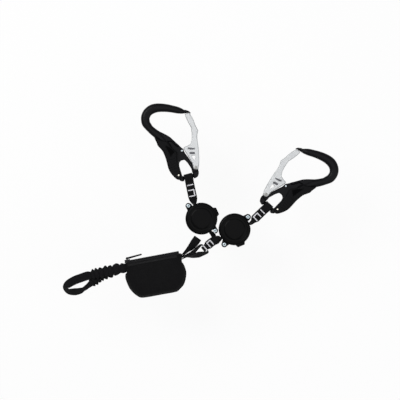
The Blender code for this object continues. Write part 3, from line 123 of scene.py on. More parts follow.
def relief(tree, shader, height, depth):
    bump = node(tree, "ShaderNodeBump", in_0=1.0, in_1=depth)
    tree.links.new(height, bump.inputs["Height"])
    tree.links.new(bump.outputs[0], shader.inputs["Normal"])


def gloss(tree, shader, factor, low, high):
    level = node(tree, "ShaderNodeMapRange", in_0=factor, in_3=low, in_4=high)
    tree.links.new(level.outputs[0], shader.inputs["Roughness"])


def webbing_finish(name, dark, light, pick=0.00125, end=0.0011):
    """Herringbone webbing, read from a strap's coordinates along and across it."""
    made, tree, shader = finish_of(name, light, 0.8, sheen=0.02)
    place = node(tree, "ShaderNodeUVMap", uv_map="weave").outputs[0]
    axes = node(tree, "ShaderNodeSeparateXYZ", in_0=place)
    ends = maths(tree, "DIVIDE", axes.outputs[1], end)
    zigzag = maths(tree, "PINGPONG", ends, 2.0)
    picks = maths(tree, "DIVIDE", axes.outputs[0], pick)
    phase = maths(tree, "MULTIPLY", maths(tree, "ADD", picks, maths(tree, "MULTIPLY", zigzag, 0.5)),
                  math.tau)
    ridge = maths(tree, "MULTIPLY", maths(tree, "ADD", maths(tree, "SINE", phase), 1.0), 0.5)
    cord = maths(tree, "ABSOLUTE", maths(tree, "SINE", maths(tree, "MULTIPLY", ends, math.pi)))
    weave = maths(tree, "MULTIPLY", ridge,
                  maths(tree, "ADD", maths(tree, "MULTIPLY", cord, 0.6), 0.4))
    height = maths(tree, "ADD", weave, maths(tree, "MULTIPLY", spots(tree, 1500.0), 0.3))
    tones(tree, shader, height, dark, light)
    relief(tree, shader, height, 0.00020)
    gloss(tree, shader, weave, 0.9, 0.62)
    return made


WEBBING = webbing_finish("webbing_black", (0.0015, 0.0015, 0.0017), (0.007, 0.007, 0.008))


class Station:
    """A place on a strap, the direction of its width, and its width and thickness there."""

    def __init__(self, place, side, width=WIDTH, thick=THICK):
        self.place, self.side = Vector(place), Vector(side)
        self.width, self.thick = width, thick


def heading(angle):
    return Vector((math.cos(angle), math.sin(angle), 0))


def across(angle):
    return Vector((-math.sin(angle), math.cos(angle), 0))


def up(height):
    return Vector((0, 0, height))


def tilted(angle, roll):
    """The width direction of a web that runs at an angle; its roll is 0 for flat, 1 for on edge."""
    lean = roll * UPRIGHT
    return across(angle) * math.cos(lean) + up(math.sin(lean))


def curve_point(points, i, share, closed=False):
    """A point of the smooth curve through points, a share of the way from one to the next."""
    count = len(points)
    a, b, c, d = (points[j % count] if closed else points[min(max(j, 0), count - 1)]
                  for j in (i - 1, i, i + 1, i + 2))
    return b + share * ((c - a) / 2 + share * (
        (2 * a - 5 * b + 4 * c - d) / 2 + share * (3 * (b - c) + d - a) / 2))


def smooth_stations(stations, step):
    places = [s.place for s in stations]
    made = []
    for i, (one, two) in enumerate(zip(stations, stations[1:])):
        cuts = max(1, round((two.place - one.place).length / step))
        for k in range(cuts):
            share = k / cuts
            soft = share * share * (3 - 2 * share)
            made.append(Station(curve_point(places, i, share), one.side.lerp(two.side, share),
                                one.width + (two.width - one.width) * soft,
                                one.thick + (two.thick - one.thick) * soft))
    return made + [stations[-1]]


def neighbours(row, i):
    """The items before and after one of a row, where an end stands for its missing one."""
    return row[max(i - 1, 0)], row[min(i + 1, len(row) - 1)]


def frames(stations):
    """Each station with its forward, side and face directions at right angles."""
    for i, station in enumerate(stations):
        before, after = neighbours(stations, i)
        ahead = (after.place - before.place).normalized()
        side = (station.side - ahead * station.side.dot(ahead)).normalized()
        yield station, ahead, side, ahead.cross(side)


def hairpin(route, offsets, returns):
    """A strap along a route, round its last station and back, at offsets from the route."""
    framed = list(frames(route))
    out = [Station(s.place + face * offset, side, s.width, s.thick)
           for (s, _, side, face), offset in zip(framed, offsets)]
    end, ahead, side, face = framed[-1]
    radius = (offsets[-1] - returns[-1]) / 2
    middle = end.place + face * (offsets[-1] + returns[-1]) / 2
    turn = [Station(middle + radius * (math.cos(a) * face + math.sin(a) * ahead), side,
                    end.width, end.thick)
            for a in (math.pi * k / 9 for k in range(1, 9))]
    back = [Station(s.place + face * offset, side, s.width, s.thick)
            for (s, _, side, face), offset in zip(framed[-len(returns):], returns)]
    return out + turn + back[::-1]


# the webbing's section in shares of its half width and half thickness, with firm round edges
EDGE = ((1.0, 0.0), (0.985, 0.62), (0.95, 0.98), (0.90, 1.0), (0.84, 0.86), (0.45, 0.90),
        (0.0, 0.92), (-0.45, 0.90), (-0.84, 0.86), (-0.90, 1.0), (-0.95, 0.98), (-0.985, 0.62))
SECTION = EDGE + tuple((-x, -y) for x, y in EDGE)


def thing(name, bm, material, place=None, body=None, crease=50):
    """A piece of the scene from a mesh, moved to its place and riding on its body."""
    if place is not None:
        bmesh.ops.transform(bm, matrix=place, verts=bm.verts)
    bmesh.ops.recalc_face_normals(bm, faces=bm.faces)
    if bm.calc_volume(signed=True) < 0:
        bmesh.ops.reverse_faces(bm, faces=bm.faces)
    mesh = bpy.data.meshes.new(name)
    bm.to_mesh(mesh)
    bm.free()
    mesh.shade_smooth()
    mesh.set_sharp_from_angle(angle=math.radians(crease))
    mesh.materials.append(material)
    made = bpy.data.objects.new(name, mesh)
    bpy.context.scene.collection.objects.link(made)
    if body:
        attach(made, body)
    return made


def strap(name, stations, place=None, body=None, finish=None, step=0.0014):
    """Flat webbing through stations, with coordinates along and across it for its weave."""
    bm = bmesh.new()
    uv = bm.loops.layers.uv.new("weave")
    rows, length, last = [], 0.0, None
    for station, _, side, face in frames(smooth_stations(stations, step)):
        length += (station.place - last).length if last else 0.0
        last = station.place
        wide, deep = side * station.width / 2, face * station.thick / 2
        ring = [bm.verts.new(station.place + wide * x + deep * y) for x, y in SECTION]
        rows.append((ring, length, station.width / 2))
    for (low, start, half_low), (high, end, half_high) in zip(rows, rows[1:]):
        for i in range(len(SECTION)):
            j = (i + 1) % len(SECTION)
            face = bm.faces.new((low[i], low[j], high[j], high[i]))
            marks = ((start, SECTION[i][0] * half_low), (start, SECTION[j][0] * half_low),
                     (end, SECTION[j][0] * half_high), (end, SECTION[i][0] * half_high))
            for loop, mark in zip(face.loops, marks):
                loop[uv].uv = mark
    bm.faces.new(rows[0][0][::-1])
    bm.faces.new(rows[-1][0])
    return thing(name, bm, finish or WEBBING, place, body)


def exit_stations(centre, angle, twist):
    """The web from the stored roll through a mouth, on edge at first and turning flat."""
    return [Station(centre + heading(angle) * (ROLL_RADIUS + far * WIDTH) + up(CASE_MID),
                    tilted(angle, roll), WIDTH * width) for far, roll, width in twist]


LEFT_CASE = SHIFT + Vector((0.0022, -0.0288, 0))
right_low, right_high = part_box("right_drum_axle")
RIGHT_CASE = Vector(((right_low.x + right_high.x) / 2, (right_low.y + right_high.y) / 2, 0))
# each web's way out of its case, each arm's line, and its length from the bend to the crossbar
EXIT = {"left": math.radians(115.4), "right": math.radians(22.0)}
ARM = {"left": math.radians(101.8), "right": math.radians(44.0)}
LENGTH = {"left": 0.0408, "right": 0.0368}
CARABINER_TURN = {"left": (0, 0, math.radians(14.9)), "right": (0, math.pi, math.radians(-42.5))}
CASE = {"left": LEFT_CASE, "right": RIGHT_CASE}
# each arm's bars: distance back from the crossbar of the single one and of the pair
BARS = {"left": (0.0131, 0.0305, 0.0212), "right": (0.0121, 0.0280, 0.0196)}
# the twist at each mouth: distance from the roll in web widths, roll from flat, width
TWIST = {"left": ((0.06, 1.0, 1.0), (0.30, 0.90, 1.0), (0.52, 0.68, 1.0)),
         "right": ((0.06, 1.0, 1.0), (0.30, 0.90, 0.92), (0.55, 0.70, 0.80))}
# the run after it: distance back from the crossbar in arm lengths, roll, width
RUN = {
    "left": ((0.945, 0.44, 1.0), (0.86, 0.20, 1.0), (0.77, 0.03, 1.0), (0.66, 0.0, 1.0),
             (0.50, 0.0, 1.0), (0.36, 0.0, 1.0), (0.22, 0.0, 1.0)),
    "right": ((0.93, 0.56, 0.72), (0.87, 0.38, 0.80), (0.81, 0.16, 0.92), (0.755, 0.02, 1.0),
              (0.60, 0.0, 1.0), (0.42, 0.0, 1.0), (0.24, 0.0, 1.0)),
}
CROSSBAR = {}


def arm_web(side):
    centre, angle, length = CASE[side], ARM[side], LENGTH[side]
    end = centre + heading(EXIT[side]) * BEND_REACH + heading(angle) * length
    end += up(CARABINER_MID)
    CROSSBAR[side] = end
    bar = CARABINER_TURN[side][2] + UPRIGHT
    route = exit_stations(centre, EXIT[side], TWIST[side])
    for back, roll, width in RUN[side]:
        place = end - heading(angle) * length * back
        place.z += (CASE_MID - CARABINER_MID) * back
        route.append(Station(place, tilted(angle, roll), WIDTH * width))
    route.append(Station(end - heading(bar) * TURN_RADIUS, across(bar)))
    route.append(Station(end, across(bar)))
    near = TURN_RADIUS * 0.8
    offsets = [LAYER] * (len(route) - 2) + [near, TURN_RADIUS]
    made = strap(f"{side}_arm_webbing",
                 hairpin(route, offsets, [-LAYER] * 4 + [-near, -TURN_RADIUS]), step=0.0007)
    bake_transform(made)
    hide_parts(f"{side}_arm_web")


arm_web("left")
arm_web("right")


# Bar tacks
# The folds are closed with dense bars of pale polyester thread. A bar is a row of close, short
# stitches across the web, and the pairs on the arms and the trunk are joined along one edge.

def thread_finish():
    made, tree, shader = finish_of("thread_pale", (0.74, 0.74, 0.77), 0.55, sheen=0.3)
    fibre = spots(tree, 5200.0, 4.0)
    tones(tree, shader, fibre, (0.50, 0.50, 0.54), (0.86, 0.86, 0.88))
    relief(tree, shader, fibre, 0.00006)
    return made


THREAD = thread_finish()
TACK_LENGTH, TACK_WIDTH, TACK_LIFT = 0.0096, 0.0018, 0.00022
THREAD_RADIUS, THREAD_PITCH, THREAD_ARCH, THREAD_WOBBLE = 0.00021, 0.00040, 0.00018, 0.00008
# a stitch from end to end, in shares of its length, thickness and arch
STITCH = ((0, 0.35, 0.0), (0.12, 0.9, 0.75), (0.35, 1, 1), (0.65, 1, 1), (0.88, 0.9, 0.75),
          (1, 0.35, 0.0))


def skin(bm, rings, ends=True):
    """Faces from each ring of corners to the next, and over the first and the last ring."""
    for low, high in zip(rings, rings[1:]):
        for i in range(len(low)):
            bm.faces.new((low[i - 1], low[i], high[i], high[i - 1]))
    if ends:
        bm.faces.new(rings[0][::-1])
        bm.faces.new(rings[-1])


def angles(count):
    """So many angles, evenly round a full turn."""
    return [math.tau * k / count for k in range(count)]


def stitch(bm, one, two):
    """A short thread laid from one point to another, dipping into the web at both ends."""
    side = (two - one).normalized().cross(UP).normalized()
    rings = []
    for share, size, rise in STITCH:
        middle = one.lerp(two, share) + up(THREAD_ARCH * rise)
        rings.append([bm.verts.new(middle + THREAD_RADIUS * size * (
            math.cos(a) * side + math.sin(a) * UP)) for a in angles(6)])
    skin(bm, rings)


def bar_of_stitches(bm, middle, along, over, length):
    """One bar: short stitches side by side down its length."""
    count = round(length / THREAD_PITCH)
    for k in range(count):
        spot = middle + over * ((k + 0.5) / count - 0.5) * length
        reach = along * (TACK_WIDTH / 2 + THREAD_WOBBLE * math.sin(2.4 * k))
        stitch(bm, spot - reach, spot + reach)


def sewn_bars(name, place, angle, pitch, linked, body, stands_for):
    """One bar, or a pair at a pitch that a third bar joins along the edge that linked names."""
    bm = bmesh.new()
    along, over = heading(angle), across(angle) * -linked
    place = place + up(TACK_LIFT)
    for shift in ((0, pitch) if pitch else (0,)):
        bar_of_stitches(bm, place + along * shift, along, over, TACK_LENGTH)
    if pitch:
        edge = place + along * pitch / 2 - over * (TACK_LENGTH / 2 - TACK_WIDTH / 2)
        bar_of_stitches(bm, edge, over, along, pitch - TACK_WIDTH)
    made = thing(name, bm, THREAD, body=body)
    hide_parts(stands_for)


for side, linked in (("left", -1), ("right", 1)):
    for kind, back, pitch, lift in (
            ("single_bar_tack", BARS[side][0], 0, GAP),
            ("bar_tacks", BARS[side][1], BARS[side][1] - BARS[side][2], 2.5 * GAP)):
        spot = CROSSBAR[side] - heading(ARM[side]) * back
        climb = (CASE_MID - CARABINER_MID) * (back + TACK_WIDTH) / LENGTH[side]
        spot.z = CARABINER_MID + climb + LAYER + THICK / 2 + lift
        sewn_bars(f"{side}_arm_stitched_{kind}", spot, ARM[side], pitch, linked, f"{side}_arm",
                  f"{side}_arm_{kind}")


# Retractor cases
# Two round black cases of glossy moulded plastic, each in two cups that two ears and a lug hold
# together round the spring drum. Their edges are softly rounded, their faces carry fine scuffs,
# and a rim stands round the low dome of each upper face.

CASE_HIGH = 2 * CASE_MID


def welded(name):
    """A CAD piece with its corners joined, for its edges to be rounded."""
    made = NODES[name]
    made.modifiers.new("weld", "WELD").merge_threshold = 1e-6
    return made


def rounded_off(name, material, voxel, passes):
    """A CAD piece with its corners rounded as cast or moulded ones are."""
    made = welded(name)
    remesh = made.modifiers.new("skin", "REMESH")
    remesh.mode = "VOXEL"
    remesh.voxel_size = voxel * 1
    remesh.use_smooth_shade = True
    smooth = made.modifiers.new("round", "SMOOTH")
    smooth.factor, smooth.iterations = 0.5, passes
    dressed(made, material)


def dressed(made, material):
    for slot in made.material_slots:
        slot.material = material
    if not made.material_slots:
        made.data.materials.append(material)


def plastic_finish(name, colour, rough_low, rough_high, grain, depth, coat=0.0, shine=0.10):
    made, tree, shader = finish_of(name, colour, rough_low, coat=coat, shine=shine)
    fine, broad = spots(tree, grain, 4.0), spots(tree, 90.0, 2.0)
    tones(tree, shader, broad, tuple(0.75 * c for c in colour), tuple(1.25 * c for c in colour))
    gloss(tree, shader, maths(tree, "MULTIPLY", fine, broad), rough_low, rough_high)
    relief(tree, shader, fine, depth)
    return made


CASE_PLASTIC = plastic_finish("case_plastic_black", (0.0010, 0.0010, 0.0012), 0.16, 0.42, 2600.0,
                              0.000012, coat=0.07, shine=0.010)
# the raised face, from its rim inward: radius, height over the shell
CASE_FACE = (
    (0.0212, -0.0003), (0.0215, 0.0002), (0.0211, 0.0006), (0.0203, 0.0007), (0.0197, 0.0005),
    (0.0193, 0.0001), (0.0168, 0.0001), (0.0162, 0.0005), (0.0152, 0.0008), (0.0110, 0.0011),
    (0.0060, 0.0013), (0.0002, 0.00135),
)


def lathe(name, profile, material, place, body, sides=32, radius_of=None):
    """A turned piece; radius_of can give a level's radius another shape round its axis."""
    bm = bmesh.new()
    rings = []
    for number, (radius, level) in enumerate(profile):
        ring = []
        for angle in angles(sides):
            size = radius_of(number, radius, angle) if radius_of else radius
            ring.append(bm.verts.new((size * math.cos(angle), size * math.sin(angle), level)))
        rings.append(ring)
    skin(bm, rings)
    return thing(name, bm, material, place, body, crease=32)


for side in ("left", "right"):
    rounded_off(f"{side}_case_upper_shell", CASE_PLASTIC, 0.00042, 5)
    rounded_off(f"{side}_case_lower_shell", CASE_PLASTIC, 0.00042, 5)
    raised_face = lathe(f"{side}_case_raised_face",
                        [(radius, CASE_HIGH + rise) for radius, rise in CASE_FACE], CASE_PLASTIC,
                        Matrix.Translation(CASE[side]), f"{side}_case", 96)


# Case screws
# Socket-head screws of bright steel, two to a case, each through an ear with its head standing on
# the ear's top. The head's side is knurled and the socket has six sides, with its floor painted
# dark as painted shade in the hole.

def metal_finish(name, colour, roughness, metallic=1.0, grain=1800.0, spread=0.14):
    made, tree, shader = finish_of(name, colour, roughness, metallic)
    fine = spots(tree, grain, 5.0)
    tones(tree, shader, spots(tree, 160.0, 2.0), tuple(0.82 * c for c in colour), colour)
    gloss(tree, shader, fine, roughness - spread / 2, roughness + spread / 2)
    relief(tree, shader, fine, 0.000010)
    return made


STEEL = metal_finish("steel_bright", (0.36, 0.42, 0.45), 0.30)
# the socket's floor: the screw's own steel, painted dark as painted shade in the hole
SOCKET_SHADE_PAINT = metal_finish("socket_painted_shade", (0.06, 0.07, 0.08), 0.5)
EAR_REACH, EAR_LEVEL = 0.0282, 0.0042
# each ear's direction, in degrees from the arm's way out
EARS = {"left": (20.2, 203.2), "right": (20.8, 214.0)}
SCREW_SHANK = 0.0015
# the screw's head and its socket's floor: radius, height over the ear
SCREW_HEAD = ((SCREW_SHANK, 0), (0.0027, 0), (0.0028, 0.00015), (0.0028, 0.0010),
              (0.0026, 0.0013), (0.0024, 0.0014), (0.0013, 0.0014), (0.0013, 0.0006),
              (0.0002, 0.00055))
SOCKET_FLOOR = ((0.0002, 0.0005), (0.00112, 0.0005), (0.00108, 0.00066), (0.0002, 0.00066))


def screw_radius(number, radius, angle):
    """The knurled side of the head, and the six sides of its socket."""
    if number in (3, 4):
        return radius * (1 + 0.035 * math.copysign(1, math.sin(16 * angle)))
    if number >= 7:
        turn = (angle + math.pi / 6) % (math.pi / 3) - math.pi / 6
        return radius * 0.92 / math.cos(turn)
    return radius


for side in ("left", "right"):
    for letter, ear in zip("ab", EARS[side]):
        spot = CASE[side] + heading(EXIT[side] + math.radians(ear)) * EAR_REACH
        top = CASE_HIGH - EAR_LEVEL + GAP
        screw = lathe(f"{side}_case_socket_screw_{letter}",
                      [(SCREW_SHANK, EAR_LEVEL)] + [(r, top + rise) for r, rise in SCREW_HEAD],
                      STEEL, Matrix.Translation(spot), f"{side}_case", 64, screw_radius)
        floor_of_socket = lathe(f"{side}_case_screw_socket_{letter}",
                                [(r, top + rise) for r, rise in SOCKET_FLOOR],
                                SOCKET_SHADE_PAINT, Matrix.Translation(spot), f"{side}_case")
        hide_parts(f"{side}_case_screw_{letter}")


# Drums and stored webs
# Inside each case a plastic drum turns on a steel axle against a flat clock spring, and the arm's
# spare webbing lies wound on it. None of it shows with the case shut.

DRUM_PLASTIC = plastic_finish("drum_plastic", (0.02, 0.02, 0.021), 0.35, 0.55, 1500.0, 0.00002)
SPRING_STEEL = metal_finish("spring_steel", (0.36, 0.37, 0.39), 0.32)
STORED_TURNS, STORED_THICK, STORED_INNER, STORED_ROOM = 4.4, 0.0014, 0.0119, 0.0008


def bevelled(name, material, width=0.0002):
    """A small CAD piece with its sharp edges broken."""
    made = welded(name)
    bevel = made.modifiers.new("break", "BEVEL")
    bevel.width, bevel.segments, bevel.limit_method = width, 2, "ANGLE"
    bevel.angle_limit = math.radians(40)
    bevel.use_clamp_overlap = True
    dressed(made, material)


for side in ("left", "right"):
    bevelled(f"{side}_drum", DRUM_PLASTIC, 0.0003)
    bevelled(f"{side}_drum_axle", STEEL, 0.0003)
    dressed(NODES[f"{side}_clock_spring"], SPRING_STEEL)
    low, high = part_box(f"{side}_stored_web")
    steps, outer = 140, high.x - CASE[side].x - STORED_ROOM
    wound = [Station(CASE[side] + heading(math.tau * STORED_TURNS * k / steps)
                     * (STORED_INNER + (outer - STORED_INNER) * k / steps)
                     + up((low.z + high.z) / 2), UP, high.z - low.z, STORED_THICK)
             for k in range(steps + 1)]
    made = strap(f"{side}_wound_webbing", wound, body=f"{side}_drum", step=0.004)
    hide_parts(f"{side}_stored_web")


# Carabiner frames
# Each frame is one forged and black anodised aluminium bar, bent from the nose round the basket
# and down the spine to a flat base with the crossbar. Its long highlight follows the bar.

ANODISED = metal_finish("black_anodised", (0.004, 0.004, 0.005), 0.28, 0.16, 2400.0, 0.12)
# the carabiner's length, which the outlines are shares of, and half its bar's thickness
CARABINER, BAR_HALF = 0.1228, 0.0058
PLACE = {
    side: Matrix.Translation(CROSSBAR[side]) @ Euler(CARABINER_TURN[side]).to_matrix().to_4x4()
    for side in CROSSBAR
}
# the nose end's outline, and its rounded edges: size of the outline, height over the middle
NOSE_END = (
    (0.1450, 0.7900), (0.1600, 0.7842), (0.1900, 0.7815), (0.2160, 0.7800), (0.2250, 0.7840),
    (0.2150, 0.7990), (0.1950, 0.8150), (0.1700, 0.8290), (0.1450, 0.8380),
)
NOSE_LEVELS = ((0.80, -0.0036), (0.95, -0.0031), (1, -0.0020), (1, 0.0020), (0.95, 0.0031),
               (0.80, 0.0036))


def nose_end(side):
    """The tip of the nose, which the gate shuts against."""
    middle = Vector((sum(x for x, _ in NOSE_END), sum(y for _, y in NOSE_END), 0)) / len(NOSE_END)
    bm = bmesh.new()
    rings = []
    for size, level in NOSE_LEVELS:
        ring = []
        for x, y in NOSE_END:
            spot = (middle + (Vector((x, y, 0)) - middle) * size) * CARABINER
            ring.append(bm.verts.new((spot.x, spot.y, level)))
        rings.append(ring)
    skin(bm, rings)
    made = thing(f"{side}_carabiner_nose_end", bm, ANODISED, PLACE[side], f"{side}_carabiner")


# the bar from nose to spine: centre x, centre y, half width, share of its half thickness
LOOP = (
    (0.1680, 0.8010, 0.0185, 0.45), (0.1400, 0.8160, 0.0300, 0.62),
    (0.0855, 0.8469, 0.0405, 0.93), (0.0220, 0.8795, 0.0440, 1.0),
    (-0.035, 0.9055, 0.0476, 1.0), (-0.099, 0.9283, 0.0513, 1.0),
    (-0.1645, 0.9430, 0.0546, 1.0), (-0.220, 0.9430, 0.0570, 1.0),
    (-0.271, 0.9270, 0.0554, 1.0), (-0.309, 0.8982, 0.0550, 1.0),
    (-0.336, 0.8550, 0.0530, 1.0), (-0.3440, 0.7940, 0.0520, 1.0),
    (-0.3270, 0.7425, 0.0480, 1.0), (-0.3125, 0.7110, 0.0445, 1.0),
    (-0.2830, 0.6645, 0.0475, 1.0), (-0.2550, 0.6280, 0.0515, 1.0),
)
SKIN_THICK, SKIN_SUNK = 0.00036, 0.00012


def squarer(share):
    """A cosine or sine drawn outward, so that a round section turns a little square."""
    return math.copysign(abs(share) ** 0.82, share)


def curve_at(points, where):
    """The point of the smooth curve through points at so many of its spans from the start."""
    index = min(int(where), len(points) - 2)
    return curve_point(points, index, where - index)


def loop_skin(side):
    """The bar's smooth skin round the basket, sunk into the frame at both ends."""
    centres = [Vector((x, y, 0)) * CARABINER for x, y, _, _ in LOOP]
    sizes = [Vector((half, rise, 0)) for _, _, half, rise in LOOP]
    spans, count, sides = len(LOOP) - 1, 180, 40
    first, last, fade = 0.7, spans - 0.2, 1.2
    places, halves = [], []
    for i in range(count + 1):
        where = first + (last - first) * i / count
        places.append(curve_at(centres, where))
        size = curve_at(sizes, where)
        out = min(1.0, (where - first) / fade, (last - where) / fade)
        thick = SKIN_THICK * out - SKIN_SUNK
        halves.append((size.x * CARABINER + thick, size.y * BAR_HALF + 0.5 * thick))
    bm = bmesh.new()
    rings = []
    for i, place in enumerate(places):
        before, after = neighbours(places, i)
        over = Vector((after.y - before.y, before.x - after.x, 0)).normalized()
        half, rise = halves[i]
        ring = []
        for k in range(sides):
            a = math.tau * (k + 0.5) / sides
            ring.append(bm.verts.new(place + over * half * squarer(math.cos(a))
                                     + up(rise * squarer(math.sin(a)))))
        rings.append(ring)
    skin(bm, rings)
    made = thing(f"{side}_carabiner_loop_skin", bm, ANODISED, PLACE[side], f"{side}_carabiner")


for side in CROSSBAR:
    rounded_off(f"{side}_carabiner_frame", ANODISED, 0.00038, 4)
    loop_skin(side)
    nose_end(side)


# Gates
# A gate is a plate of bare aluminium with a satin brushed face, forked at its foot to straddle the
# frame and pinned there by a turned rivet. Two grooves cross each face, and their floors are
# painted dark grey as painted shade.

def brushed_finish():
    made, tree, shader = finish_of("aluminium_brushed", (0.60, 0.60, 0.61), 0.42, 0.45, shine=0.4)
    drawn = node(tree, "ShaderNodeMapping", in_0=real_place(tree), in_3=(1.0, 0.12, 1.0)).outputs[0]
    lines, cloud = spots(tree, 4200.0, 4.0, drawn), spots(tree, 120.0, 2.0)
    tones(tree, shader, maths(tree, "MULTIPLY", lines, cloud), (0.40, 0.41, 0.42),
          (0.54, 0.55, 0.55))
    gloss(tree, shader, lines, 0.34, 0.52)
    relief(tree, shader, lines, 0.000012)
    return made


ALUMINIUM = brushed_finish()
RIVET_METAL = metal_finish("rivet_metal", (0.26, 0.26, 0.25), 0.45)
# the groove floors are the gate's own aluminium, painted dark grey as painted shade in the grooves
GROOVE_SHADE_PAINT = metal_finish("groove_painted_shade", (0.10, 0.10, 0.11), 0.5, 0.5)
GROOVES = (
    ((0.0930, 0.2735), (0.1510, 0.2545), (0.1560, 0.2745), (0.1495, 0.2802), (0.0950, 0.2920)),
    ((0.0850, 0.3415), (0.1205, 0.3240), (0.1685, 0.3160), (0.1710, 0.3248), (0.1295, 0.3402),
     (0.0915, 0.3540)),
)
GROOVE_FLOOR_LEVEL, GROOVE_TOP_LEVEL = 0.00330, 0.00385
# the rivet's two heads, the upper one dimpled: radius, depth below the head's face
RIVET_FOOT = ((0.0002, 0), (0.0019, 0), (0.0024, 0.00018), (0.0025, 0.0005), (0.0018, 0.0005))
RIVET_TOP = ((0.0018, 0.0005), (0.0025, 0.0005), (0.0024, 0.00018), (0.0019, 0), (0.0015, 0),
             (0.0013, 0.00022), (0.0011, 0), (0.0002, 0))


def plate(bm, outline, low, high):
    """A flat plate of an outline between two levels, added to a mesh."""
    skin(bm, [[bm.verts.new((x, y, z)) for x, y in outline] for z in (low, high)])


for side in CROSSBAR:
    rounded_off(f"{side}_gate", ALUMINIUM, 0.00036, 3)
    for face, sign in (("upper", 1), ("lower", -1)):
        bm = bmesh.new()
        for groove in GROOVES:
            levels = sorted((sign * GROOVE_FLOOR_LEVEL, sign * GROOVE_TOP_LEVEL))
            plate(bm, [(x * CARABINER, y * CARABINER) for x, y in groove], *levels)
        made = thing(f"{side}_gate_groove_floors_{face}", bm, GROOVE_SHADE_PAINT, PLACE[side],
                     f"{side}_gate")
    low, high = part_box(f"{side}_gate_rivet")
    half = (high.z - low.z) / 2
    profile = [(radius, depth - half) for radius, depth in RIVET_FOOT]
    profile += [(radius, half - depth) for radius, depth in RIVET_TOP]
    made = lathe(f"{side}_gate_turned_rivet", profile, RIVET_METAL,
                 Matrix.Translation((low + high) / 2), f"{side}_carabiner", 40)
    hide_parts(f"{side}_gate_rivet")


# Palm levers and catches
# The lever is matt black moulded nylon that wraps the spine, with raised grip ribs and a sunk
# triangle on both faces, whose floor is painted blacker than the lever as painted shade. It turns
# on a steel pin and draws back the steel catch under the gate.

LEVER_PLASTIC = plastic_finish("lever_plastic_matt", (0.003, 0.003, 0.0036), 0.40, 0.60, 1900.0,
                               0.00004, shine=0.05)
CATCH_STEEL = metal_finish("catch_steel", (0.62, 0.60, 0.52), 0.3)
# the grip ribs: level, left end, right end
RIBS = ((0.1000, -0.1950, -0.1120), (0.1330, -0.2020, -0.1110), (0.1660, -0.2060, -0.1090),
        (0.1990, -0.2070, -0.1070), (0.2320, -0.2070, -0.1040), (0.2650, -0.2060, -0.0990))
RECESS = ((-0.1860, 0.4640), (-0.1200, 0.4080), (-0.0830, 0.3450), (-0.1520, 0.2960))
# the sunk triangle's floor: the lever's own nylon, painted blacker as painted shade in the recess
RECESS_SHADE_PAINT = plastic_finish("lever_recess_painted_shade", (0.0012, 0.0012, 0.0014), 0.6, 0.8, 1900.0,
                              0.00003, shine=0.02)
LEVER_HALF, RIB_HALF, RIB_RISE, RIB_SLOPE = 0.0081, 0.00062, 0.00038, 0.006
RECESS_DEPTH = 0.00016


def lever_ribs(side, face, sign):
    """Raised ribs, the raised rim of the sunk triangle on one face of a lever, and the triangle's
    floor painted blacker as painted shade.
    """
    bm = bmesh.new()
    base = sign * LEVER_HALF
    strips = [((left, level), (right, level + RIB_SLOPE)) for level, left, right in RIBS]
    strips += [(RECESS[i - 1], RECESS[i]) for i in range(4)]
    for one, two in strips:
        a, b = Vector((*one, 0)) * CARABINER, Vector((*two, 0)) * CARABINER
        way = (b - a).normalized()
        over = Vector((-way.y, way.x, 0))
        rings = []
        for share, size in ((0.0, 0.45), (0.04, 1.0), (0.96, 1.0), (1.0, 0.45)):
            spot = a.lerp(b, share) + up(base)
            rings.append([bm.verts.new(spot + over * RIB_HALF * size * math.cos(t)
                                       + up(sign * RIB_RISE * size * math.sin(t)))
                          for t in angles(12)])
        skin(bm, rings)
    made = thing(f"{side}_lever_ribs_{face}", bm, LEVER_PLASTIC, PLACE[side],
                 f"{side}_palm_lever")
    bm = bmesh.new()
    levels = sorted((base * 0.99, base + sign * RECESS_DEPTH))
    plate(bm, [(x * CARABINER, y * CARABINER) for x, y in RECESS[::-1]], *levels)
    made = thing(f"{side}_lever_recess_{face}", bm, RECESS_SHADE_PAINT, PLACE[side],
                 f"{side}_palm_lever")


def swollen(name, depth):
    """A CAD piece with its surface moved outward, or inward by a depth below 0."""
    push = NODES[name].modifiers.new("depth", "DISPLACE")
    push.strength, push.mid_level = depth, 0.0


for side in CROSSBAR:
    rounded_off(f"{side}_palm_lever", LEVER_PLASTIC, 0.00042, 5)
    lever_ribs(side, "upper", 1)
    lever_ribs(side, "lower", -1)
    bevelled(f"{side}_lock_pawl", CATCH_STEEL)
    swollen(f"{side}_lock_pawl", -0.00014)  # running room beside the frame
    bevelled(f"{side}_lever_pin", CATCH_STEEL)
    bevelled(f"{side}_pawl_pin", STEEL)


# Trunk
# The webs of both arms meet below the cases and are sewn one on the other. The upper one turns
# round the absorber's end loop in a small eye, and pale bar tacks close it.

TRUNK, TRUNK_START, TRUNK_LENGTH = math.radians(40.7), SHIFT + Vector((0.0091, -0.0730, 0)), 0.0204
# the trunk's mouth in a case lies nearly opposite the arm's
MOUTH = math.radians(190)
# the eye round the absorber's end loop; the left branch's bend, and where it ends on the trunk
LINK_BACK, LINK_RADIUS, LINK_WIDTH, LINK_THICK = 0.0014, 0.0041, 0.0086, 0.0022
BEND_WIDTH, BEND_RADIUS, BRANCH_REACH, BRANCH_END = 0.0076, 0.0070, 0.0225, 0.0048
TRUNK_RUN, TRUNK_ABOVE = TRUNK + math.pi, 2 * LAYER
TRUNK_PAIR, TRUNK_PITCH, TRUNK_END_BAR = 0.0054, 0.0064, -0.0014
# the twist at each trunk mouth, as for the arms
TRUNK_TWIST = {"right": ((0.06, -1.0, 1.0), (0.30, -0.92, 1.0), (0.55, -0.72, 1.0)),
               "left": ((0.06, 1.0, 1.0), (0.30, 0.94, 0.92), (0.50, 0.74, 0.80))}
# the upper web down the trunk: share of its length, web widths sideways, roll from flat
UPPER_RUN = ((1.10, -0.205, -0.30), (0.92, -0.125, -0.06), (0.72, -0.04, 0), (0.48, 0, 0),
             (0.25, 0, 0))


def trunk_point(along, level=0.0):
    return TRUNK_START + heading(TRUNK) * along + up(CASE_MID + level)


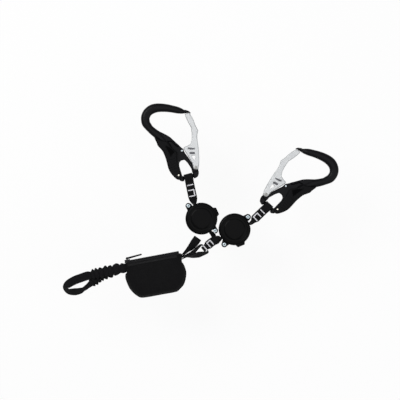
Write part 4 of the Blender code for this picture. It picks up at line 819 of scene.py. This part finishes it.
def trunk_web():
    """The right case's web, which runs down the trunk and turns round the link."""
    flat = across(TRUNK_RUN)
    route = exit_stations(RIGHT_CASE, EXIT["right"] + MOUTH, TRUNK_TWIST["right"])
    for share, sideways, roll in UPPER_RUN:
        place = trunk_point(TRUNK_LENGTH * share) + across(TRUNK) * WIDTH * sideways
        route.append(Station(place, tilted(TRUNK_RUN, roll)))
    route.append(Station(trunk_point(LINK_RADIUS * 0.3), flat, LINK_WIDTH * 1.2, LINK_THICK))
    route.append(Station(trunk_point(-LINK_BACK), flat, LINK_WIDTH, LINK_THICK))
    near = LINK_RADIUS * 0.9
    offsets = [TRUNK_ABOVE * k / 3 for k in range(3)] + [TRUNK_ABOVE] * 5 + [near, LINK_RADIUS]
    made = strap("trunk_webbing", hairpin(route, offsets, [0, 0, -near, -LINK_RADIUS]))
    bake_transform(made)
    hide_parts("trunk_web")


def left_branch():
    """The left case's web, which bends into the trunk below the other and ends there."""
    exit_angle = EXIT["left"] + MOUTH
    way, trunk_way = heading(exit_angle), heading(TRUNK)
    route = exit_stations(LEFT_CASE, exit_angle, TRUNK_TWIST["left"])
    start = LEFT_CASE + way * CASE_RADIUS
    reach = (TRUNK_START - start).cross(trunk_way).z / way.cross(trunk_way).z
    turn = (exit_angle - TRUNK_RUN + math.pi) % math.tau - math.pi
    bend_start = start + way * (reach - BEND_RADIUS * math.tan(turn / 2))
    centre = bend_start - across(exit_angle) * BEND_RADIUS
    lean = start.lerp(bend_start, 0.5)
    lean.z = CASE_MID - TRUNK_ABOVE * 0.7
    route.append(Station(lean, tilted(exit_angle, 0.42), BEND_WIDTH))
    for share in (0.02, 0.35, 0.68, 1.0):
        swing = exit_angle - turn * share
        place = centre + across(swing) * BEND_RADIUS + up(CASE_MID - TRUNK_ABOVE)
        roll = 0.10 * (1 - share) ** 2
        route.append(Station(place, tilted(swing, roll), BEND_WIDTH))
    route.append(Station(trunk_point(BRANCH_END + LINK_RADIUS * 0.7, -TRUNK_ABOVE),
                         across(TRUNK_RUN), BEND_WIDTH))
    made = strap("left_branch_webbing", route, step=0.0008)
    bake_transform(made)
    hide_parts("left_branch_web")


trunk_web()
left_branch()
sewn_bars("trunk_stitched_bar_tacks",
          trunk_point(TRUNK_PAIR, TRUNK_ABOVE + LINK_THICK / 2 + GAP), TRUNK, TRUNK_PITCH, 1,
          "trunk", "trunk_bar_tacks")
sewn_bars("trunk_stitched_end_bar_tack",
          trunk_point(TRUNK_END_BAR, LINK_RADIUS + LINK_THICK / 2 + GAP), TRUNK, 0, 1, "trunk",
          "trunk_end_bar_tack")


# Pouch
# A soft pouch of black nylon cloth holds the folded absorber. Two cupped panels are bound together
# along a low seam, the front one faced with a paler tape below the zip, and both web mouths gape.

POUCH_TURN, POUCH_SIZE = math.radians(10.5), Vector((0.0930, 0.0610, 0))
POUCH = Matrix.Translation(SHIFT + Vector((-0.0698, -0.1147, 0))) @ Matrix.Rotation(
    POUCH_TURN, 4, "Z")
# the seam's level, the cloth's thickness and the front's level
SEAM, CLOTH, FULL = 0.0125, 0.0012, 0.0260
# the outline and the mouths, in shares of the pouch's size; its straight top lies at POUCH_TOP
POUCH_TOP = 0.402
POUCH_OUTLINE = (
    (0.460, 0.402), (0.500, 0.370), (0.495, 0.300), (0.478, 0.190), (0.502, 0.060),
    (0.512, -0.100), (0.485, -0.250), (0.437, -0.387), (0.360, -0.480), (0.291, -0.530),
    (0.050, -0.532), (-0.195, -0.530), (-0.300, -0.510), (-0.360, -0.440), (-0.399, -0.372),
    (-0.440, -0.270), (-0.463, -0.175), (-0.486, 0.008), (-0.478, 0.120), (-0.450, 0.200),
    (-0.450, 0.330), (-0.452, 0.395), (-0.430, 0.405), (-0.200, 0.402), (0.000, 0.402),
    (0.200, 0.404), (0.400, 0.402),
)
LEFT_MOUTH, RIGHT_MOUTH = (-0.449, 0.300), (0.486, 0.290)
# the cloth's rise from the seam inward: size of the outline, share of the full height
CROWN = ((1.0, 0.0), (0.985, 0.20), (0.96, 0.40), (0.925, 0.56), (0.88, 0.68), (0.80, 0.82),
         (0.72, 0.90), (0.62, 0.945), (0.52, 0.975), (0.40, 1.0), (0.28, 1.0), (0.15, 1.0))


def pouch_point(pair):
    return Vector((pair[0] * POUCH_SIZE.x, pair[1] * POUCH_SIZE.y, 0))


def mouth_lift(point):
    """How far the cloth gapes at a point of the rim: 1 at a web mouth, 0 away from both."""
    reach = 0.150 * POUCH_SIZE.x
    return max(min(1.0, max(0.0, 1.9 * (1 - (point - pouch_point(mouth)).length / reach)))
               for mouth in (LEFT_MOUTH, RIGHT_MOUTH))


THREAD_STEP = 0.00055


def cloth_finish(name, dark, light):
    """Plain-woven cloth: two sets of threads that cross, over and under in turn."""
    made, tree, shader = finish_of(name, light, 0.75, sheen=0.015)
    axes = node(tree, "ShaderNodeSeparateXYZ", in_0=real_place(tree))
    one, two = (maths(tree, "SINE", maths(tree, "MULTIPLY", axis, math.tau / THREAD_STEP))
                for axis in axes.outputs[:2])
    weave = maths(tree, "MULTIPLY", maths(tree, "ADD", maths(tree, "MULTIPLY", one, two), 1.0), 0.5)
    cloud = spots(tree, 220.0, 4.0)
    rumple = maths(tree, "MULTIPLY", spots(tree, 48.0, 3.0), 9.0)
    height = maths(tree, "ADD", maths(tree, "MULTIPLY", weave, 0.5), cloud)
    tones(tree, shader, maths(tree, "MULTIPLY", height, 0.7), dark, light)
    relief(tree, shader, maths(tree, "ADD", height, rumple), 0.00016)
    gloss(tree, shader, cloud, 0.58, 0.86)
    return made


CLOTH_BLACK = cloth_finish("pouch_cloth_black", (0.0010, 0.0010, 0.0012), (0.0040, 0.0040, 0.0045))
TAPE_GREY = webbing_finish("facing_tape", (0.004, 0.004, 0.0045), (0.016, 0.016, 0.017), 0.0009,
                           0.0008)


def smooth_outline(steps):
    points = [pouch_point(pair) for pair in POUCH_OUTLINE]
    return [curve_point(points, i, k / steps, True) for i in range(len(points))
            for k in range(steps)]


LIP_FRONT, LIP_BACK, PULL_DEPTH, FOLD_DEPTH = 0.0042, 0.0100, 0.00055, 0.0011


def cloth_height(point, scale, rise, round_share, front):
    """The height of the cloth off the seam, with pulls at the seam and soft folds in the middle."""
    crown = (FULL - SEAM if front else SEAM) - GAP / 2
    lip = LIP_FRONT if front else LIP_BACK
    lift = mouth_lift(point) * lip * max(0.0, 1 - 6 * (1 - scale))
    height = max(rise * crown, lift + rise * (crown - lift)) + GAP / 2
    if rise > 0:
        edge = math.exp(-8 * (1 - scale)) * min(1.0, 4 * rise)
        pulls = math.sin(math.tau * 31 * round_share + 2.0 * math.sin(math.tau * 7 * round_share))
        folds = noise.noise(Vector((point.x * 62 * scale, point.y * 90 * scale, 4.0 * front)))
        height -= PULL_DEPTH * edge * (1 + pulls) / 2
        height -= FOLD_DEPTH * rise * max(0.0, 0.35 + folds)
    return max(height, GAP / 2)


def pouch_panel(name, front, stands_for):
    """A cupped panel of cloth from the seam inward, with its lining."""
    outline = smooth_outline(8)
    sign = 1 if front else -1
    outer, inner = [], []
    for scale, rise in CROWN:
        shell, lining = [], []
        for k, point in enumerate(outline):
            height = cloth_height(point, scale, rise, k / len(outline), front)
            spot = point * scale
            shell.append(Vector((spot.x, spot.y, SEAM + sign * height)))
            thick = CLOTH * (1.5 if rise == 0 else 1)
            spot = spot * (1 - thick / spot.length)
            drop = 0 if rise == 0 else CLOTH
            lining.append(Vector((spot.x, spot.y, SEAM + sign * (height - drop))))
        outer.append(shell)
        inner.append(lining)
    bm = bmesh.new()
    rings = [[bm.verts.new(p) for p in ring] for ring in outer[::-1] + inner]
    skin(bm, rings, ends=False)
    for ring in (rings[0], rings[-1]):
        middle = bm.verts.new(sum((v.co for v in ring), Vector()) / len(ring))
        for i in range(len(ring)):
            bm.faces.new((ring[i - 1], ring[i], middle))
    made = thing(name, bm, CLOTH_BLACK, POUCH, "pouch")
    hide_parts(stands_for)


pouch_panel("pouch_front_cloth", True, "pouch_front_panel")
pouch_panel("pouch_back_cloth", False, "pouch_back_panel")

BINDING_WIDTH, BINDING_THICK = 0.0040, 0.0010
FACING_LENGTH, FACING_LINE, FACING_WIDTH, FACING_THICK = 0.0770, 0.0213, 0.0046, 0.0006


def front_level(x, y):
    """The height of the front panel's cloth over a point of the pouch's plane."""
    top = POUCH_TOP * POUCH_SIZE.y
    scale = y / top
    for (one, a), (two, b) in zip(CROWN, CROWN[1:]):
        if two <= scale <= one:
            rise = a + (b - a) * (one - scale) / (one - two)
            return SEAM + cloth_height(Vector((x / scale, top, 0)), scale, rise, 0.9, True)
    return FULL


binding = strap("pouch_seam_binding", [
    Station(point * 1.004 + up(SEAM), UP, BINDING_WIDTH, BINDING_THICK)
    for point in smooth_outline(3)[10:56]], POUCH, "pouch", TAPE_GREY)
facing, spans, reach = [], 24, 0.0012
for k in range(spans + 1):
    x = FACING_LENGTH * k / spans - FACING_LENGTH / 2
    low, high = (front_level(x, FACING_LINE + away) for away in (-reach, reach))
    facing.append(Station((x, FACING_LINE, (low + high) / 2 + FACING_THICK / 2),
                          Vector((0, 2 * reach, high - low)).normalized(),
                          FACING_WIDTH, FACING_THICK))
made = strap("pouch_facing_tape", facing, POUCH, "pouch", TAPE_GREY)


# Zip
# A coil zip closes the pouch's top: black polyester tape with a hem, a spiral coil sewn to it, and
# a painted metal slider with a long moulded tab. The spiral's turns catch the light.

ZIP_LINE, ZIP_LENGTH, COIL = 0.0275, 0.0852, 0.0013
# width and thickness of the tape and of the welts beside it, and where the welts lie
ZIP_TAPE, WELT, WELT_LINE, WELT_OFF = (0.0090, 0.0011), (0.0046, 0.0022), 0.0247, 0.0020
CORD_RADIUS, WIRE_RADIUS = 0.00110, 0.00036
TAPE_BLACK = webbing_finish("zip_tape_black", (0.006, 0.006, 0.007), (0.022, 0.022, 0.024),
                            0.0008, 0.0007)
COIL_BLACK = plastic_finish("zip_coil_black", (0.018, 0.018, 0.020), 0.18, 0.34, 2400.0, 0.00001)
SLIDER_PAINT = metal_finish("slider_black_paint", (0.012, 0.012, 0.013), 0.28, 0.3)
TAB_PLASTIC = plastic_finish("tab_plastic", (0.003, 0.003, 0.0035), 0.30, 0.50, 1900.0, 0.00003)


def tube(name, points, radius, sides, finish):
    """A round cord or wire through points, on the pouch."""
    bm = bmesh.new()
    rings = []
    for station, _, side, face in frames([Station(p, (0.3, 0.2, 1)) for p in points]):
        rings.append([bm.verts.new(station.place + radius * (
            math.cos(a) * side + math.sin(a) * face)) for a in angles(sides)])
    skin(bm, rings)
    return thing(name, bm, finish, POUCH, "pouch")


def zip_band(name, places, y, z, size):
    """A straight band of tape on edge along the zip."""
    made = strap(name, [Station((x, y, z), UP, *size) for x in places], POUCH, "pouch",
                 TAPE_BLACK)
    return made


quarter = ZIP_LENGTH / 4
tape = zip_band("zip_woven_tape", (-2 * quarter, -quarter, 0, quarter, 2 * quarter),
                ZIP_LINE - COIL - GAP - 0.00025, SEAM, ZIP_TAPE)
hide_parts("zip_tape")
for name, off in (("lower", -WELT_OFF), ("upper", WELT_OFF)):
    zip_band(f"pouch_zip_welt_{name}", (-0.0412, -0.0205, 0, 0.0205, 0.0412), WELT_LINE,
             SEAM + off, WELT)
core = [(x * ZIP_LENGTH, ZIP_LINE - 0.00026, SEAM) for x in (-0.498, -0.25, 0, 0.25, 0.498)]
cord = tube("zip_filler_cord", core, CORD_RADIUS, 16, TAPE_BLACK)
turns, cuts, spiral = 60, 10, []
for k in range(turns * cuts + 1):
    a, share = math.tau * k / cuts, k / (turns * cuts)
    x = -ZIP_LENGTH / 2 + WIRE_RADIUS + (ZIP_LENGTH - 2 * WIRE_RADIUS) * share
    spiral.append(Vector((x, ZIP_LINE + (COIL - WIRE_RADIUS) * math.cos(a),
                          SEAM + (COIL - WIRE_RADIUS) * math.sin(a))))
coil = tube("zip_spiral_coil", spiral, WIRE_RADIUS, 6, COIL_BLACK)
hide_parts("zip_coil")
bevelled("zip_slider", SLIDER_PAINT)
bevelled("zip_pull_tab", TAB_PLASTIC)
swollen("zip_pull_tab", 0.00025)  # the moulded grip is thicker than its core


# Energy absorber
# Inside the pouch the tear webbing lies folded in six layers, with an elastic band round the folds.
# A hard fall tears the layers apart in turn. They are plain, because the pouch hides them.

TEAR_WEBBING = webbing_finish("tear_webbing", (0.010, 0.010, 0.011), (0.045, 0.045, 0.047))


def elastic_finish():
    made, tree, shader = finish_of("elastic_black", (0.006, 0.006, 0.0065), 0.85, sheen=0.02)
    fine = spots(tree, 2600.0, 4.0)
    axes = node(tree, "ShaderNodeSeparateXYZ", in_0=real_place(tree))
    cords = maths(tree, "ABSOLUTE", maths(tree, "SINE", maths(
        tree, "MULTIPLY", axes.outputs[1], math.tau / 0.0026)))
    height = maths(tree, "ADD", cords, maths(tree, "MULTIPLY", fine, 0.6))
    tones(tree, shader, maths(tree, "MULTIPLY", height, 0.62), (0.001, 0.001, 0.0012),
          (0.008, 0.008, 0.009))
    relief(tree, shader, height, 0.00014)
    gloss(tree, shader, fine, 0.7, 0.95)
    return made


ELASTIC = elastic_finish()
TEAR_THICK, TEAR_WIDTH, TEAR_LAYERS, TEAR_HALF = 0.0016, 0.0230, 6, 0.0300
BAND_THICK, BAND_WIDTH, BAND_HALF = 0.0008, 0.0120, 0.0115
# the pack's middle in the pouch, its room over the back panel, and the band's rounded corner
PACK_MIDDLE, PACK_ROOM, BAND_CORNER = -0.06 * POUCH_SIZE.y, 0.0020, 0.03


def absorber():
    pitch = TEAR_THICK + 2 * GAP
    low = CLOTH + PACK_ROOM + BAND_THICK + GAP + TEAR_THICK / 2
    stations = []
    for layer in range(TEAR_LAYERS):
        level, sign = low + pitch * layer, 1 if layer % 2 == 0 else -1
        places = [(sign * TEAR_HALF * share, level) for share in (-1, -0.5, 0, 0.5, 1)]
        if layer < TEAR_LAYERS - 1:
            places += [(sign * (TEAR_HALF + 0.62 * pitch * math.sin(a)),
                        level + pitch * (1 - math.cos(a)) / 2)
                       for a in (math.pi * k / 6 for k in range(1, 6))]
        stations += [Station((x, PACK_MIDDLE, z), (0, 1, 0), TEAR_WIDTH, TEAR_THICK)
                     for x, z in places]
    pack = strap("absorber_folded_webbing", stations, POUCH, "pouch", TEAR_WEBBING, step=0.002)
    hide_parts("absorber_pack")
    high = low + pitch * (TEAR_LAYERS - 1) + TEAR_THICK / 2 + GAP
    bottom, out = low - TEAR_THICK / 2 - GAP, BAND_HALF + GAP
    corners = [(-out, bottom), (out, bottom), (out, high), (-out, high)]
    path = []
    for i, (y, z) in enumerate(corners):
        wide = y + math.copysign(BAND_THICK / 2, y)
        tall = z + math.copysign(BAND_THICK / 2, z - low)
        for other_y, other_z in (corners[i - 1], corners[(i + 1) % 4]):
            near = Vector((0, wide, tall)).lerp(Vector((0, other_y * wide / y, other_z)),
                                                BAND_CORNER)
            path.append(Vector((0, near.y + PACK_MIDDLE, near.z)))
    path.append(path[0])
    band = strap("absorber_elastic_band",
                 [Station(p, (1, 0, 0), BAND_WIDTH, BAND_THICK) for p in path],
                 POUCH, "pouch", ELASTIC, step=0.003)
    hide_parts("absorber_band")


absorber()


# Absorber's end loop and rest loop
# From the pouch's right mouth come the absorber's end, on edge, which loops through the trunk's
# eye, and a short folded loop of the same webbing, for a carabiner to be clipped to in a rest.

BEYOND_MOUTH = pouch_point(RIGHT_MOUTH) + up(CASE_MID + 0.0004)
# each strand: web widths along and across from the mouth or the link, roll from flat, width
LOWER_STRAND = (
    (-0.66, -0.20, 1.0, 0.84), (0.0, -0.18, 1.0, 0.84), (0.60, -0.02, 0.92, 0.92),
    (1.28, -0.08, 0.74, 1.0), (2.00, -0.04, 0.54, 0.98),
)
UPPER_STRAND = (
    (1.36, 0.32, 0.72, 0.92), (0.76, 0.17, 0.86, 0.90), (0.0, 0.02, 1.0, 0.84),
    (-0.66, 0.02, 1.0, 0.84),
)
ROUND_THE_EYE = (
    (-0.16, -0.56, 0.76, 0.64), (0.01, -0.36, 0.98, 0.37), (0.0, 0.0, 1.0, 0.35),
    (-0.02, 0.36, 0.98, 0.37), (-0.28, 0.56, 0.80, 0.62),
)


def absorber_loop():
    link = POUCH.inverted() @ trunk_point(-LINK_BACK)
    run = TRUNK - POUCH_TURN
    places = [(BEYOND_MOUTH + WIDTH * Vector((x, y, 0)), roll, width)
              for x, y, roll, width in LOWER_STRAND]
    places += [(link + WIDTH * (x * heading(run) + y * across(run)), roll, width)
               for x, y, roll, width in ROUND_THE_EYE]
    places += [(BEYOND_MOUTH + WIDTH * Vector((x, y, 0)), roll, width)
               for x, y, roll, width in UPPER_STRAND]
    stations = []
    for i, (place, roll, width) in enumerate(places):
        before, after = neighbours(places, i)
        ahead = after[0] - before[0]
        stations.append(Station(place, tilted(math.atan2(ahead.y, ahead.x), roll), WIDTH * width))
    made = strap("absorber_end_webbing_loop", stations, POUCH, "pouch", step=0.0010)
    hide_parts("absorber_end_loop")


# the rest loop: shares of its reach along and across, roll, width, and half its opening
REST_REACH, REST_WIDTH = 0.0340, 0.0124
REST_LOOP = (
    (-0.130, 0.080, 1.0, 0.90, 0.028), (0.040, 0.092, 1.0, 0.90, 0.028),
    (0.290, 0.250, 0.84, 0.95, 0.032), (0.530, 0.405, 0.52, 1.0, 0.036),
    (0.700, 0.550, 0.22, 1.0, 0.046), (0.845, 0.690, 0.08, 1.0, 0.056),
)


def rest_loop():
    route = []
    for i, (x, y, roll, width, _) in enumerate(REST_LOOP):
        before, after = neighbours(REST_LOOP, i)
        angle = math.atan2(after[1] - before[1], after[0] - before[0])
        route.append(Station(BEYOND_MOUTH + REST_REACH * Vector((x, y, 0)),
                             tilted(angle, roll), REST_WIDTH * width))
    offsets = [REST_REACH * row[-1] for row in REST_LOOP]
    made = strap("rest_webbing_loop", hairpin(route, offsets, [-o for o in offsets]), POUCH,
                 "pouch", step=0.0012)
    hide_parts("rest_loop")


absorber_loop()
rest_loop()


# Tie-in loop and its sleeves
# From the left mouth a loop of webbing runs out through two sleeves of gathered black elastic,
# which keep its strands together, and opens at the far end for the harness.

# shares of the loop's reach: along it from the mouth, sideways and up; then roll and width
TIE_REACH = 0.1000
UPPER_SLEEVE = ((-0.010, 0.003, 0.127), (0.190, 0.000, 0.126), (0.320, -0.001, 0.123),
                (0.450, -0.006, 0.112), (0.548, -0.011, 0.094))
LOWER_SLEEVE = ((-0.010, -0.002, 0.0425), (0.192, -0.022, 0.0415), (0.332, -0.044, 0.0415),
                (0.430, -0.071, 0.0415), (0.520, -0.110, 0.0415), (0.590, -0.149, 0.0420))
TIE_LOOP = (
    (0.620, -0.019, 0.076, 0.00, 1.00), (0.729, -0.036, 0.066, 0.02, 1.00),
    (0.833, -0.055, 0.060, 0.10, 1.00), (0.935, -0.092, 0.060, 0.28, 1.00),
    (0.983, -0.132, 0.061, 0.50, 1.00), (0.983, -0.168, 0.064, 0.62, 1.00),
    (0.962, -0.198, 0.064, 0.60, 1.00), (0.923, -0.217, 0.059, 0.48, 1.00),
    (0.852, -0.230, 0.053, 0.38, 1.00), (0.771, -0.229, 0.060, 0.52, 1.00),
    (0.710, -0.212, 0.054, 0.62, 0.74), (0.645, -0.180, 0.045, 0.34, 0.62),
)
RUFFLE_LENGTH, RUFFLE_DEPTH = 0.0076, 0.0036
SLEEVE_WIDE, SLEEVE_TALL, BORE_WIDE, BORE_TALL = 0.0053, 0.0023, 0.0050, 0.0019


def left_place(share):
    return pouch_point(LEFT_MOUTH) + TIE_REACH * Vector((-share[0], share[1], share[2]))


def sleeve(name, shares, stands_for):
    """A tube of elastic, its ruffles of uneven depth round the tube and along it."""
    points = [left_place(share) for share in shares]
    length = sum((b - a).length for a, b in zip(points, points[1:]))
    spans, count, sides = len(points) - 1, 180, 36
    stations = [Station(curve_at(points, spans * i / count), (0, 1, 0)) for i in range(count + 1)]
    ruffles = round(length / RUFFLE_LENGTH)
    bm = bmesh.new()
    outer, inner = [], []
    for i, (station, _, side, face) in enumerate(frames(stations)):
        share = i / count
        shell, bore = [], []
        for a in angles(sides):
            slip = noise.noise(Vector((math.cos(a) * 1.1, math.sin(a) * 1.1, 9 * share)))
            puff = abs(math.sin(math.pi * (ruffles * share + 0.22 * slip))) ** 0.85
            crease = noise.noise(Vector((math.cos(a) * 5, math.sin(a) * 5, 60 * share)))
            depth = RUFFLE_DEPTH * puff * (0.85 + 0.5 * slip) + 0.0003 * crease
            near_end = min(1.0, 8 * min(share, 1 - share) + 0.15)
            wide = SLEEVE_WIDE + depth * near_end
            tall = SLEEVE_TALL + 0.6 * depth * near_end
            shell.append(bm.verts.new(station.place + side * wide * math.cos(a)
                                      + face * tall * math.sin(a)))
            bore.append(bm.verts.new(station.place + side * BORE_WIDE * math.cos(a)
                                     + face * BORE_TALL * math.sin(a)))
        outer.append(shell)
        inner.append(bore)
    skin(bm, outer + inner[::-1] + [outer[0]], ends=False)
    made = thing(name, bm, ELASTIC, POUCH, "pouch")
    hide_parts(stands_for)


def tie_in_loop():
    narrow, legs = 0.0094, []
    for shares, level in ((UPPER_SLEEVE, 0.126), (LOWER_SLEEVE, 0.058)):
        places = [left_place((-0.070, 0.0, level)),
                  left_place((-0.030, shares[0][1], level * 0.97))]
        inside = [left_place(share) for share in shares]
        for i in range(len(inside) - 1):
            places += [inside[i], curve_point(inside, i, 0.5)]
        places.append(inside[-1])
        legs.append([Station(place, (0, 1, 0), narrow) for place in places])
    out, back = legs
    for station in out:
        station.side = Vector((0, -1, 0))
    free = []
    for i, (along, bow, level, roll, width) in enumerate(TIE_LOOP):
        before, after = neighbours(TIE_LOOP, i)
        angle = math.atan2(after[1] - before[1], before[0] - after[0])
        free.append(Station(left_place((along, bow, level)), tilted(angle, roll), WIDTH * width))
    made = strap("tie_in_webbing_loop", out + free + back[::-1], POUCH, "pouch", step=0.0014)
    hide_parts("tie_in_loop")


sleeve("elastic_gathered_sleeve_upper", UPPER_SLEEVE, "elastic_sleeve_upper")
sleeve("elastic_gathered_sleeve_lower", LOWER_SLEEVE, "elastic_sleeve_lower")
tie_in_loop()


# Floor, light and camera
# A white floor well below, so that a carabiner can hang straight down from its web, under plain
# soft light from the left and overhead. The camera looks straight down from far off, 1.55 mm to
# the pixel, so that the lanyard lies as it was photographed.

FLOOR_DROP, FLOOR_HALF, FLOOR_GLOW = 0.122, 14.0, 0.87
SKY_LIGHT, SKY_SEEN = 0.42, 0.95
# the camera's height over the level that it shows SEEN_WIDTH wide
SENSOR, FAR_OFF, SEEN_WIDTH, SEEN_LEVEL = 36, 2.4, 0.62, 0.01


def glow_share(tree):
    """1 for rays that see the backdrop, straight or in a reflection, and 0 for its light."""
    rays = node(tree, "ShaderNodeLightPath")
    mirror = maths(tree, "MAXIMUM", rays.outputs["Is Glossy Ray"],
                   rays.outputs["Is Transmission Ray"])
    return maths(tree, "MAXIMUM", rays.outputs["Is Camera Ray"], mirror)


def floor():
    bm = bmesh.new()
    bmesh.ops.create_grid(bm, x_segments=8, y_segments=8, size=FLOOR_HALF)
    mesh = bpy.data.meshes.new("floor")
    bm.to_mesh(mesh)
    bm.free()
    made = bpy.data.objects.new("floor", mesh)
    made.location.z = -FLOOR_DROP
    bpy.context.scene.collection.objects.link(made)
    white = bpy.data.materials.new("floor_white")
    white.use_nodes = True
    tree = white.node_tree
    tree.nodes.clear()
    share = maths(tree, "MULTIPLY", glow_share(tree), FLOOR_GLOW)
    matt = node(tree, "ShaderNodeBsdfDiffuse", in_0=(0.86, 0.86, 0.86, 1))
    glow = node(tree, "ShaderNodeEmission", in_0=(1, 1, 1, 1), in_1=1.0)
    mix = node(tree, "ShaderNodeMixShader", in_0=share, in_1=matt.outputs[0], in_2=glow.outputs[0])
    node(tree, "ShaderNodeOutputMaterial", in_0=mix.outputs[0])
    mesh.materials.append(white)


def lamp(name, place, size, power):
    light = bpy.data.lights.new(name, "AREA")
    light.size, light.energy = size, power
    made = bpy.data.objects.new(name, light)
    made.location = place
    made.rotation_euler = (-Vector(place)).to_track_quat("-Z", "Y").to_euler()
    bpy.context.scene.collection.objects.link(made)


floor()
lamp("key", (-0.9, 0.7, 1.5), 0.9, 17)
lamp("fill", (1.3, -0.6, 1.3), 1.4, 9)
lamp("overhead", (0.1, 0.1, 2.2), 1.6, 10)
world = bpy.data.worlds.new("studio")
bpy.context.scene.world = world
world.use_nodes = True
tree = world.node_tree
tree.nodes.clear()
level = node(tree, "ShaderNodeMapRange", in_0=glow_share(tree), in_3=SKY_LIGHT, in_4=SKY_SEEN)
sky = node(tree, "ShaderNodeBackground", in_0=(1, 1, 1, 1), in_1=level.outputs[0])
node(tree, "ShaderNodeOutputWorld", in_0=sky.outputs[0])
camera = bpy.data.cameras.new("camera")
camera.sensor_width = SENSOR
camera.lens = SENSOR * FAR_OFF / SEEN_WIDTH
viewer = bpy.data.objects.new("camera", camera)
viewer.location = SHIFT + up(FAR_OFF + SEEN_LEVEL)
bpy.context.scene.collection.objects.link(viewer)
bpy.context.scene.camera = viewer
bpy.context.scene.view_settings.view_transform = "Standard"
